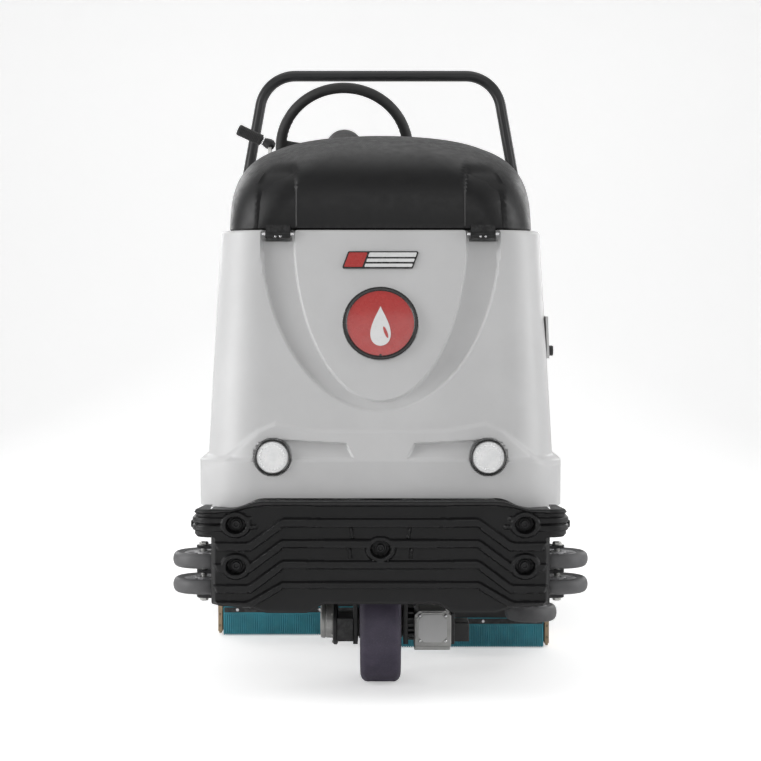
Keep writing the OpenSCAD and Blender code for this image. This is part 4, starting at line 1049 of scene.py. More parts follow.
def badges():
    s = Shape("red_badge", "lamp_ring", "white_ink", "chrome")
    m = on_face_matrix(0, 755)
    r = 78.0
    s.lathe([(r - 10, 0), (r - 0.8, 0), (r - 0.8, 5), (r - 1.8, 7.2), (r - 4, 8.0), (r - 7.5, 7.4),
             (r - 9.5, 5.5), (r - 10, 4)],
            None, n=128, mat="lamp_ring", matrix=m)
    s.lathe([(r - 1, 0), (r, 0), (r, 4), (r - 0.5, 5), (r - 1, 4.6), (r - 1, 0)], None, n=128, mat="chrome",
            matrix=m)
    s.lathe([(0, 0), (r - 7.6, 0), (r - 7.6, 4.6), (r - 9, 5.2), (0, 5.9)], None, n=128, mat="red_badge",
            matrix=m)
    # water drop, pointed end up, with a smaller drop cut below it
    drop = []
    for i in range(49):
        a = 2 * math.pi * i / 48
        x = 29 * math.sin(a) * math.sin(a / 2) ** 1.35
        y = 42 * math.cos(a) - 6
        drop.append((x, y))
    s.prism(drop[:-1], 5.2, 6.7, "white_ink", m)
    glint = [(11 + 4 * math.cos(a) - 22, -18 + 13 * math.sin(a))
             for a in [2 * math.pi * i / 24 for i in range(24)]]
    s.prism([(x * 0.8 + 20 - 8, y - 4) for x, y in glint], 6.6, 7.0, "red_badge",
            m @ Matrix.Rotation(0.35, 4, "Z"))
    s.lathe([(0, 0), (2.4, 0), (2.4, 7.9), (0, 7.9)], None, n=20, mat="lamp_ring",
            matrix=m @ Matrix.Translation((0, -68, 0)))
    # plain slanted plate: dark edge, red block, light bars
    m = on_face_matrix(0, 886)
    slant = 0.36

    def bar(x0, x1, y0, y1, low, high, mat, radius=2.0):
        pts = [(x0 + slant * y0, y0), (x1 + slant * y0, y0), (x1 + slant * y1, y1), (x0 + slant * y1, y1)]
        s.prism(round_outline(pts, radius), low, high, mat, m)

    bar(-73, 73, -18.5, 18.5, 0, 2.2, "lamp_ring", 4)
    bar(-70, -32, -15.5, 15.5, 2.0, 3.2, "red_badge", 2.5)
    bar(-28, 70, 6, 15.5, 2.0, 3.2, "white_ink", 2)
    bar(-28, 70, -4.6, 2.2, 2.0, 3.2, "white_ink", 1.5)
    bar(-28, 70, -15.5, -8.6, 2.0, 3.2, "white_ink", 2)
    s.piece("front_badges", "chassis", "red_badge", "badges", angle=40, bevel=0.25)


lamps()
badges()
restyle("side_panel", 1.5, segments=3)
restyle("filter_basket", 0.6)


def side_knob():
    low, high = box_mm("panel_knob")
    cy, cz = (low[1] + high[1]) / 2, (low[2] + high[2]) / 2
    s = Shape("console_plastic")
    s.lathe([(0, 0), (5, 0), (5, 5), (10, 5.6), (11, 7), (11, 12.6), (9.6, 14), (4, 14), (3.4, 13.2),
             (0, 13)],
            (low[0], cy, cz), (1, 0, 0), 60, lobes=lambda a, h: -0.8
            if h > 6 and h < 13.5 and math.cos(a * 12) > 0.3 else 0)
    s.piece("side_panel_knob", "panel_knob", "console_plastic", "panel_knob", angle=40)


side_knob()


# ---------------------------------------------------------------- guard hoop, wheel, lever

# tube radius, foot flange radius, knee height, corner bend and inward lean of the guard hoop
HOOP_R = 15.0
HOOP_FOOT = 22.0
HOOP_KNEE = 1090.0
HOOP_BEND = 100.0
HOOP_LEAN = math.radians(10.3)


def hoop():
    low, high = box_mm("guard_hoop")
    r, knee, bend, lean = HOOP_R, HOOP_KNEE, HOOP_BEND, HOOP_LEAN
    y, half, top = high[1] - HOOP_FOOT, high[0] - HOOP_FOOT, high[2] - r
    arc_z = top - bend * (1 - math.sin(lean))
    arc_x = half - (arc_z - knee) * math.tan(lean)
    centre_x, centre_z = arc_x - bend * math.cos(lean), top - bend
    right = [(half, y, low[2] + 4), (half, y, 800), (half, y, knee - 34)]
    # soft bend at the knee
    for i in range(1, 8):
        t = i / 8
        a = Vector((half, y, knee - 34))
        b = Vector((half, y, knee))
        c = Vector((half - 34 * math.sin(lean), y, knee + 34 * math.cos(lean)))
        right.append(tuple(a * (1 - t) ** 2 + b * 2 * t * (1 - t) + c * t ** 2))
    right.append((half - 34 * math.sin(lean), y, knee + 34 * math.cos(lean)))
    for i in range(25):
        a = lean + (math.pi / 2 - lean) * i / 24
        right.append((centre_x + bend * math.cos(a), y, centre_z + bend * math.sin(a)))
    path = right + [(-x, yy, z) for x, yy, z in right[::-1]]
    s = Shape("black_steel")
    s.tube(path, r, 32)
    for side in (-1, 1):
        s.lathe([(0, 0), (22, 0), (22, 5.5), (21, 7), (17, 7.5), (17, 12), (0, 12)],
                (side * half, y, low[2] + 0.2), (0, 0, 1), 48)
        for a in (45, 135, 225, 315):
            d = math.radians(a)
            s.cap_bolt((side * half + 18.6 * math.cos(d), y + 18.6 * math.sin(d), low[2] + 6.5), (0, 0, 1),
                       2.4, 2.6, "zinc")
    s.piece("hoop_tube", "chassis", "black_steel", "guard_hoop", angle=40)


def column_matrix(t=0.0):
    """The steering column, +Z towards the operator, from the joint that turns it."""
    joint = [j for j in frame["joints"] if j["name"] == "steering_turn"][0]
    axis = Vector(joint["axis"]).normalized()
    side = Vector((1, 0, 0))
    down = axis.cross(side)
    m = Matrix((side, down, axis)).transposed().to_4x4()
    m.translation = Vector(joint["pos_m"]) / MM + axis * t
    return m


def steering():
    m = column_matrix()
    low, high = box_mm("steering_wheel")
    outer = (high[0] - low[0]) / 2
    r = 14.0
    ring = outer - r
    s = Shape("grip_rubber", "console_plastic", "hub_grey", "black_steel")
    verts, faces = [], []
    n, k = 144, 20
    for i in range(n):
        a = 2 * math.pi * i / n
        # fuller grips at nine and three o'clock, finger waves inside
        grip = math.exp(-((math.degrees(math.asin(math.sin(a)))) / 22) ** 2) if abs(math.cos(a)) > 0.3 else 0
        rr = (r - 0.9) + 0.8 * grip
        for j in range(k):
            b = 2 * math.pi * j / k
            wave = 0.5 * math.cos(a * 72) * max(0, -math.cos(b)) * (1 if grip > 0.15 else 0)
            rad = ring + (rr - wave) * math.cos(b)
            verts.append((rad * math.cos(a), rad * math.sin(a), (rr - wave) * math.sin(b)))
    for i in range(n):
        for j in range(k):
            i2, j2 = (i + 1) % n, (j + 1) % k
            faces.append((i * k + j, i2 * k + j, i2 * k + j2, i * k + j2))
    s.add(verts, faces, "grip_rubber", m)
    # spokes: dished, tapering arms
    for a in (0, 90, 180):
        arm = m @ Matrix.Rotation(math.radians(a), 4, "Z")
        rings = []
        for i in range(15):
            t = i / 14
            x = 30 + (ring - 26) * t
            w = 20 - 7 * math.sin(math.pi * min(1, t * 1.1)) + 3 * t
            z = -6 + 5 * t
            h = 6.5 - 2.5 * t
            rings.append([(x, w * math.cos(b), z + h * math.sin(b))
                          for b in [2 * math.pi * q / 20 for q in range(20)]])
        s.add(*strip(rings), mat="console_plastic", matrix=arm)
    s.lathe([(0, -22), (40, -22), (45, -18), (46, -8), (46, 6), (44, 11), (42, 12), (0, 12)], None, n=72,
            mat="console_plastic", matrix=m)
    s.lathe([(0, 11.5), (41, 11.5), (42.5, 13), (42, 17), (38, 22), (29, 25.8), (16, 27.6), (0, 28)], None,
            n=72, mat="hub_grey", matrix=m)
    s.lathe([(44, 9), (45.4, 9.5), (45.4, 12.5), (44, 13), (43, 12), (43, 10)], None, n=72, mat="chrome",
            matrix=m)
    s.lathe([(0, -309), (11.6, -309), (12, -308), (12, -22), (0, -22)], None, n=32, mat="black_steel",
            matrix=m)
    s.piece("wheel_rim", "steering_wheel", "grip_rubber", "steering_wheel", angle=45)

    restyle("steering_shroud", 3.0, segments=4)


def lever():
    joint = [j for j in frame["joints"] if j["name"] == "lever_swing"][0]
    px, py, pz = [v / MM for v in joint["pos_m"]]
    top = 1180.0
    tilt = math.radians(65)
    direction = Vector((-math.sin(tilt), 0, math.cos(tilt)))
    s = Shape("zinc", "grip_rubber", "chrome", "motor_black")
    s.prism(round_outline([(-15, -2), (15, -2), (12.5, top - pz - 6), (-12.5, top - pz - 6)], 6), -4, 4,
            "zinc",
            frame_to((px, py, pz), (1, 0, 0), (0, 0, 1)))
    s.lathe([(8.2, -5), (17, -5), (18, -4), (18, 4), (17, 5), (8.2, 5), (8.2, -5)], (px, py, pz), (1, 0, 0),
            40, "zinc")
    s.lathe([(0, -13), (8, -11), (12, -5), (13, 0), (12.4, 6), (11, 11), (11, 13), (9, 14), (9, 24), (0, 24)],
            (px, py, top), direction, 40, "motor_black")
    s.lathe([(8, 0), (10.4, 0), (10.4, 3), (8, 3), (8, 0)], tuple(Vector((px, py, top)) + direction * 16),
            direction, 40, "chrome")
    # rubber grip with knurled bands
    grip = [(0, 0), (12.2, 0), (13.4, 1.2), (13.6, 5)]
    for i in range(12):
        z = 6.5 + i * 4.0
        grip += [(13.5, z), (12.5, z + 0.5), (12.5, z + 1.1), (13.5, z + 1.6)]
    grip += [(13.6, 56), (13.2, 59.5), (11.5, 61.6), (0, 62)]
    s.lathe(grip, tuple(Vector((px, py, top)) + direction * 22), direction, 56, "grip_rubber",
            lobes=lambda a, h: -0.55 if 5 < h < 55 and math.cos(a * 14) < -0.2 else 0)
    s.piece("lever_arm", "lever", "zinc", "squeegee_lever", angle=40, bevel=0.3)


hoop()
steering()
lever()


# ---------------------------------------------------------------- console and its controls

def dash_matrix(x, v, lift=0.0):
    back, top = box_mm("console")[1][1:]
    tilt = math.atan2(80, 100)
    m = Matrix.Translation((x, back - 100 + v * math.cos(tilt),
                            top - v * math.sin(tilt))) @ Matrix.Rotation(-tilt, 4, "X")
    return m @ Matrix.Translation((0, 0, lift))


def console():
    restyle("console", 6.0, segments=4)
    s = Shape("console_plastic", "black_steel")
    # seams, knee pad ribs and screws on the operator's side
    y = box_mm("console")[1][1] - 30
    for x in (-150, 150):
        for z in (420, 640, 860):
            s.screw((x, y, z), (0, 1, 0), 5, 2.5, "zinc")
    for i in range(7):
        s.box((-90, y - 1, 700 + i * 22), (90, y + 3.5, 708 + i * 22))
    s.piece("console_trim", "chassis", "console_plastic", bevel=0.8)
    panel = Shape("panel_film", "screen", "green_lamp", "white_ink", "yellow_plastic", "red_plastic",
                  "hub_grey")
    m = dash_matrix(130, 62)
    panel.prism(round_outline([(-105, -54), (105, -54), (105, 58), (-105, 58)], 9), 0, 2.6, "panel_film", m)
    panel.prism(round_outline([(-99, -48), (99, -48), (99, 52), (-99, 52)], 7), 2.4, 3.0, "console_plastic",
                m)
    panel.prism(round_outline([(-85, -46), (5, -46), (5, -2), (-85, -2)], 5), 2.6, 5.0, "panel_film", m)
    panel.prism(round_outline([(-80, -41), (0, -41), (0, -7), (-80, -7)], 3), 4.6, 5.4, "screen", m)
    for i in range(6):
        panel.box((-76 + i * 12, -36, 5.2), (-68 + i * 12, -36 + 4 + i * 3.6, 5.8), "green_lamp", m)
    for i in range(3):
        for j in range(2):
            cx, cy = 24 + i * 26, -34 + j * 22
            panel.prism(round_outline([(cx - 9, cy - 7), (cx + 9, cy - 7), (cx + 9, cy + 7),
                                       (cx - 9, cy + 7)], 3),
                        2.8, 4.6, "hub_grey", m)
            panel.lathe([(0, 4.4), (1.6, 4.4), (1.2, 5.2), (0, 5.5)], None, n=16,
                        mat=("green_lamp", "yellow_plastic", "red_plastic")[i],
                        matrix=m @ Matrix.Translation((cx, cy + 3.4, 0)))
    for x in (-82, -56, -30, -4, 22, 48):
        panel.box((x, 44, 2.8), (x + 14, 45.6, 3.4), "white_ink", m)
    panel.piece("control_panel_face", "chassis", "panel_film", "control_panel", bevel=0.3)

    m = dash_matrix(60, 34)
    key = Shape("chrome", "console_plastic")
    key.lathe([(0, -8), (6, -8), (6, 3.2), (11, 3.2), (11, 9.5), (9.8, 11.2), (4, 11.2), (0, 11)], None,
              n=40, matrix=m)
    bow = [(-1.6 * 2.4, 10), (1.6 * 2.4, 10), (4.2, 17), (8.6, 20), (9, 28), (6, 32.6), (-6, 32.6), (-9, 28),
           (-8.6, 20), (-4.2, 17)]
    key.prism(bow, -1.4, 1.4, "chrome", m @ STAND)
    key.prism([(x * 0.86, 10 + (y - 10) * 0.93 + 1.4) for x, y in bow[2:-2]] , -1.9, 1.9, "console_plastic",
              m @ STAND)
    key.piece("ignition_key", "key", "chrome", "key_switch", bevel=0.3)

    m = dash_matrix(112, 34)
    dial = Shape("panel_film", "white_ink")
    dial.lathe([(0, -8), (6, -8), (6, 3.4), (17, 3.4), (18, 4.6), (17, 10), (14.5, 16), (13, 17.2),
                (0, 17.6)], None, n=80,
               matrix=m, lobes=lambda a, h: -1.2 if 4 < h < 16 and math.cos(a * 10) > 0.35 else 0)
    dial.box((-1.1, -14, 17), (1.1, -3, 18.4), "white_ink", m)
    dial.piece("speed_knob", "dial", "panel_film", "speed_dial", bevel=0.25)

    m = dash_matrix(160, 34)
    horn = Shape("yellow_plastic")
    horn.lathe([(0, -12), (6, -12), (6, 6), (11, 6), (11, 9.4), (10.2, 10.6), (7, 10.9), (5.5, 10.2),
                (0, 9.8)], None, n=48, matrix=m)
    horn.piece("horn_cap", "horn", "yellow_plastic", "horn_button", angle=40)

    m = dash_matrix(208, 34)
    stop = Shape("red_plastic", "white_ink")
    stop.lathe([(0, -12), (8, -12), (8, 9), (18.5, 9), (20, 10.4), (20, 13.5), (18, 16.6), (11, 18.6),
                (0, 19)], None, n=64, matrix=m)
    for k in range(3):
        a = 2 * math.pi * k / 3
        mm = m @ Matrix.Rotation(a, 4, "Z") @ Matrix.Translation((9.5, 0, 17.6))
        stop.prism([(-1, -5), (1, -5), (1, 3), (3.4, 3), (0, 7), (-3.4, 3), (-1, 3)], 0, 1.2, "white_ink", mm)
    stop.piece("stop_button", "stop", "red_plastic", "emergency_stop", angle=40)


console()


# ---------------------------------------------------------------- drive unit

def middle(node):
    low, high = box_mm(node)
    return [(a + b) / 2 for a, b in zip(low, high)]


def drive():
    cx, cy, cz = middle("drive_tyre")
    low, high = box_mm("drive_tyre")
    r, w = (high[2] - low[2]) / 2, (high[0] - low[0]) / 2
    tyre = Shape("drive_tread")
    core = r - 42
    shape = [(core, -w + 3), (core + 14, -w), (r - 22, -w)]
    for i in range(9):
        a = math.pi / 2 * i / 8
        shape.append((r - 18 + 18 * math.sin(a) - 0.6 * (1 - i / 8), -w + 15 * (1 - math.cos(a))))
    for x in (-20, -8, 8, 20):
        shape.append((r - 0.15 * abs(x) / 10, x))
    for i in range(9):
        a = math.pi / 2 * (8 - i) / 8
        shape.append((r - 18 + 18 * math.sin(a) - 0.6 * i / 8, w - 15 * (1 - math.cos(a))))
    shape += [(r - 22, w), (core + 14, w), (core, w - 3), (core, -w + 3)]
    tyre.lathe(shape, (cx, cy, cz), (1, 0, 0), 128)
    tyre.piece("drive_tread_ring", "drive_wheel", "drive_tread", "drive_tyre", angle=50)

    low, high = box_mm("drive_hub")
    rh, wh = (high[2] - low[2]) / 2, (high[0] - low[0]) / 2
    hub = Shape("wheel_core", "zinc")
    prof = [(0, -wh), (24, -wh), (24, -wh + 8), (34, -wh + 12), (40, -wh + 20), (rh - 14, -w + 8),
            (rh - 6, -w + 3), (rh, -w + 4),
            (rh, w - 4), (rh - 6, w - 3), (rh - 14, w - 8), (40, wh - 20), (34, wh - 12), (24, wh - 8),
            (24, wh), (0, wh)]
    hub.lathe(prof, (cx, cy, cz), (1, 0, 0), 96)
    for side in (-1, 1):
        for i in range(6):
            a = math.pi / 3 * i
            hub.hex_bolt((cx + side * (wh - 17), cy + 32 * math.cos(a), cz + 32 * math.sin(a)), (side, 0, 0),
                         4.6, 5)
    hub.piece("drive_wheel_core", "drive_wheel", "wheel_core", "drive_hub", angle=40)

    restyle("drive_fork", 2.0, segments=3)
    restyle("steering_unit", 1.6)
    gear = Shape("cast_alloy", "motor_black", "zinc")
    low, high = box_mm("drive_gearbox")
    y0, y1 = low[1], high[1]
    gear.lathe([(0, 0), (33, 0), (36, 1.5), (37, 4), (37, 9), (35.6, 10), (35.6, 12), (37, 13), (37, 26.5),
                (0, 26.5)],
               (low[0], cy, 128), (1, 0, 0), 96, "cast_alloy")
    gear.lathe([(20, -0.2), (24, -0.2), (24, 0.6), (20, 0.6), (20, -0.2)], (low[0] + 0.3, cy, 128),
               (1, 0, 0), 60, "cast_alloy")
    gear.lathe([(0, 0), (45.5, 0), (48, 2), (48, 8), (45.5, 10), (0, 10)], (low[0] + 26, cy, 125), (1, 0, 0),
               96, "motor_black")
    gear.box((-90.2, y0, 92), (-57.5, y1, 140), "motor_black")
    for i in range(2):
        gear.box((-86, y0 - 0.6 + 0.8, 101 + i * 17), (-62, y0 + 3.5, 111 + i * 17), "cast_alloy")
    for i in range(6):
        a = math.pi / 3 * i + 0.5
        gear.cap_bolt((low[0] + 1.2, cy + 28 * math.cos(a), 128 + 28 * math.sin(a)), (-1, 0, 0), 2.8, 1.1,
                      "zinc")
        gear.hex_bolt((low[0] + 26.6, cy + 42.6 * math.cos(a), 125 + 42.6 * math.sin(a)), (-1, 0, 0), 3.0,
                      3.4, "zinc")
    gear.piece("gearbox_housing", "drive_unit", "cast_alloy", "drive_gearbox", bevel=0.8)

    low, high = box_mm("drive_motor")
    my, mz, rr = (low[1] + high[1]) / 2, (low[2] + high[2]) / 2, (high[2] - low[2]) / 2
    motor = Shape("motor_black")
    motor.lathe([(0, low[0]), (rr - 8, low[0]), (rr - 8, high[0]), (0, high[0])], (0, my, mz), (1, 0, 0), 80)
    # level cooling fins, their ends on the motor's round
    for i in range(7):
        z = low[2] + 1 + i * (high[2] - low[2] - 7) / 6
        reach = math.sqrt(max(150.0, (rr - 0.3) ** 2 - (abs(z + 2.5 - mz) + 2.5) ** 2))
        motor.box((low[0], my - reach, z), (high[0], my + reach, z + 5))
    motor.piece("motor_fins", "drive_unit", "motor_black", "drive_motor", angle=30, bevel=0.6)

    low, high = box_mm("terminal_box")
    my = (low[1] + high[1]) / 2
    case = restyle("terminal_box", 2.2, segments=3)
    case.data.materials.append(M["motor_black"])
    for p in case.data.polygons:
        if p.center.x > 0.1474:
            p.material_index = 1
    box = Shape("cast_alloy", "chrome", "motor_black")
    y = low[1]
    face = Matrix.Translation((0, y, 0)) @ STAND
    x0, x1, z0, z1, c = low[0] + 4, 143.0, 86.0, high[2] - 4, 13.0
    cut = [(x0 + c, z0), (x1 - c, z0), (x1, z0 + c), (x1, z1 - c), (x1 - c, z1), (x0 + c, z1), (x0, z1 - c),
           (x0, z0 + c)]
    box.prism(cut, -1, 3.4, "cast_alloy", face)
    mid_x, mid_z = (x0 + x1) / 2, (z0 + z1) / 2
    box.prism([(mid_x + (px - mid_x) * 0.86, mid_z + (pz - mid_z) * 0.86) for px, pz in cut], 3.0, 4.6,
              "light_panel", face)
    for sx in (-1, 1):
        for sz in (-1, 1):
            box.screw((mid_x + sx * (x1 - x0 - 15) / 2, y - 3.2, mid_z + sz * (z1 - z0 - 15) / 2),
                      (0, -1, 0), 3.4, 2.4)
    for px in (low[0] + 18, low[0] + 33):
        box.cap_bolt((px, y + 16, high[2] - 4.2), (0, 0, 1), 3.4, 4.0)
    box.piece("terminal_cover", "drive_unit", "cast_alloy", bevel=0.4)


drive()


# ---------------------------------------------------------------- brush deck

def skirts():
    bm = bmesh.new()
    bm.from_mesh(NODES["brush_skirts"].data)
    bmesh.ops.remove_doubles(bm, verts=bm.verts, dist=0.00002)
    parts = islands(bm)
    bm.free()
    s = Shape("blue_skirt", "tan_rubber", "motor_black", "chrome")
    for low, high in parts:
        (x0, y0, z0), (x1, y1, z1) = low, high
        if y1 - y0 < 20:
            n = int((x1 - x0) / 1.3)
            rows = []
            for y in (y0 + 1.5, y1):
                for edge in (0, 1):
                    row = []
                    for i in range(n + 1):
                        x = x0 + (x1 - x0) * i / n
                        bottom = z0 + 1.6 + 1.6 * math.cos(2 * math.pi * (x - x0) / 5.2)
                        row.append((x, y, z1 if edge else bottom))
                    rows.append(row)
            s.add(*strip([rows[0], rows[1], rows[3], rows[2], rows[0]], closed=False, cap_start=False,
                         cap_end=False))
            for k in (0, -1):
                end = [r[k] for r in (rows[0], rows[1], rows[3], rows[2])]
                s.add(end, [(0, 1, 2, 3)])
            n = int((x1 - x0) / 5.2)
            for i in range(n):
                x = x0 + 2.6 + 5.2 * i
                s.lathe([(0, 0), (1.4, 0.2), (1.7, 2), (1.7, z1 - z0 - 20), (0, z1 - z0 - 18)],
                        (x, y0 + 1.75, z0 + 0.4), (0, 0, 1), 10)
            s.box((x0 + 2, y0 + 0.7, z1 - 14), (x1 - 2, y0 + 2.5, z1 - 2), "motor_black")
            for i in range(4):
                x = x0 + 34 + (x1 - x0 - 68) * i / 3
                s.hex_bolt((x, y0 + 4, z1 - 8), (0, -1, 0), 4.4, 3.6, "chrome")
        else:
            side = 1 if x0 > 0 else -1
            s.box((x0, y0, z0 + 5), (x1, y1, z1), "tan_rubber")
            s.box((x0 + 2, y0 + 2, z0), (x1 - 2, y1 - 2, z0 + 6), "tan_rubber")
            for i in range(3):
                s.cap_bolt(((x0 + x1) / 2, y0 + 2.2, z1 - 12 - i * 27), (0, -1, 0), 2.7, 2.4, "motor_black")
            out = x1 if side > 0 else x0
            for i in range(5):
                s.hex_bolt((out - side * 2.6, y0 + 18 + (y1 - y0 - 36) * i / 4, z1 - 12), (side, 0, 0), 4.2,
                           2.8, "chrome")
    s.piece("skirt_blades", "deck", "blue_skirt", "brush_skirts", angle=40, bevel=0.3)


def deck():
    restyle("brush_deck", 3.0, segments=3)
    restyle("brush_motors", 1.6, segments=2)
    restyle("chassis_frame", 1.5)
    restyle("deck_actuator", 1.5)
    restyle("actuator_rod", 0.6)
    skirts()


def islands(bm):
    """Boxes, in millimetres, of a mesh's separate solids."""
    seen, out = set(), []
    for v in bm.verts:
        if v in seen:
            continue
        stack, low, high = [v], [1e9] * 3, [-1e9] * 3
        seen.add(v)
        while stack:
            p = stack.pop()
            for i in range(3):
                low[i] = min(low[i], p.co[i] / MM)
                high[i] = max(high[i], p.co[i] / MM)
            for e in p.link_edges:
                q = e.other_vert(p)
                if q not in seen:
                    seen.add(q)
                    stack.append(q)
        out.append((low, high))
    return out


def brush(node):
    cx, cy, _ = middle(node)
    low, high = box_mm(node)
    r, top = (high[0] - low[0]) / 2, high[2]
    s = Shape("motor_black", "brush_fibre", "zinc")
    s.lathe([(66, 44), (r - 26, 44), (r - 22, 46), (r - 22, 60), (r - 26, 62), (78, 64), (76, 70), (66, 70),
             (66, 44)],
            (cx, cy, 0), (0, 0, 1), 96)
    s.lathe([(0, 66), (66.4, 66), (66.4, top - 12), (44, top - 12), (40, top - 0.4), (0, top - 0.4)],
            (cx, cy, 0), (0, 0, 1), 64)
    seed = 7
    rings = [(74, 26), (90, 32), (106, 38), (122, 44), (138, 50), (153, 56)]
    for rad, count in rings:
        for i in range(count):
            a = 2 * math.pi * (i + 0.5 * (rad % 32 > 15)) / count
            flare = (rad - 70) / 84
            bx, by = cx + rad * math.cos(a), cy + rad * math.sin(a)
            for j in range(7):
                seed = (seed * 1103515245 + 12345) % 2147483648
                u = seed / 2147483648
                b = 2 * math.pi * (j / 6 + u * 0.12)
                off = 0.0 if j == 6 else 2.6
                x0, y0 = bx + off * math.cos(b), by + off * math.sin(b)
                spread = 1.6 + 1.6 * u
                tipr = min(r - 1.2, rad + 9 + 18 * flare + 1.5 * math.cos(b))
                x1 = cx + tipr * math.cos(a) + off * spread * -math.sin(a) * math.sin(b)
                y1 = cy + tipr * math.sin(a) + off * spread * math.cos(a) * math.sin(b)
                d = math.hypot(x1 - cx, y1 - cy)
                if d > r - 1.2:
                    x1, y1 = cx + (x1 - cx) * (r - 1.2) / d, cy + (y1 - cy) * (r - 1.2) / d
                mid = (x0 * 0.55 + x1 * 0.45, y0 * 0.55 + y1 * 0.45, 24)
                s.tube([(x0, y0, 45.5), mid, (x1, y1, low[2] + 0.3 + 0.9 * u)], [1.5, 1.4, 1.0], 5,
                       "brush_fibre")
    s.piece(node + "_bristles", BODY[node], "brush_fibre", node, angle=45)


deck()
brush("brush_left")
brush("brush_right")


# ---------------------------------------------------------------- platform and pedals

# pedal pins along Y and Z, and the pedals' slope at rest
PEDAL_PIVOT = (40.0, 320.0)
PEDAL_RISE = math.radians(35)


def platform():
    restyle("platform", 2.0)
    low, high = box_mm("foot_mat")
    restyle("foot_mat", 0.8)
    s = Shape("mat_rubber")
    # the studs leave the pedals' cutouts free: x and y ranges
    cut = [(-252, -148, -60, 70), (68, 172, -60, 70)]
    y = low[1] + 12
    while y < high[1] - 8:
        x = low[0] + 14
        while x < high[0] - 10:
            free = all(not (x0 < x + 8 and x - 8 < x1 and y0 - 6 < y < y1 + 6) for x0, x1, y0, y1 in cut)
            if free:
                s.add([(x - 7, y, high[2] - 0.6), (x, y - 2.2, high[2] - 0.6), (x + 7, y, high[2] - 0.6),
                       (x, y + 2.2, high[2] - 0.6),
                       (x - 4, y, high[2] - 0.1), (x + 4, y, high[2] - 0.1)],
                      [(0, 1, 5, 4), (1, 2, 5), (2, 3, 4, 5), (3, 0, 4), (3, 2, 1, 0)])
            x += 19
        y += 9.5
    s.piece("mat_studs", "chassis", "mat_rubber", angle=10)
    for node in ("accelerator", "brake_pedal"):
        low, high = box_mm(node)
        restyle(node, 1.8, segments=3)
        s = Shape("grip_rubber")
        m = Matrix.Translation(((low[0] + high[0]) / 2, *PEDAL_PIVOT)) @ Matrix.Rotation(-PEDAL_RISE, 4, "X")
        s.box((-34, -104, 4.6), (34, -14, 5.6), "grip_rubber", m)
        for i in range(12):
            s.tube([m @ Vector((-31, -98 + i * 7.2, 5.4)), m @ Vector((31, -98 + i * 7.2, 5.4))], 1.5, 8)
        s.piece(node + "_grooves", BODY[node], "grip_rubber", angle=40)


platform()


# ---------------------------------------------------------------- rear body

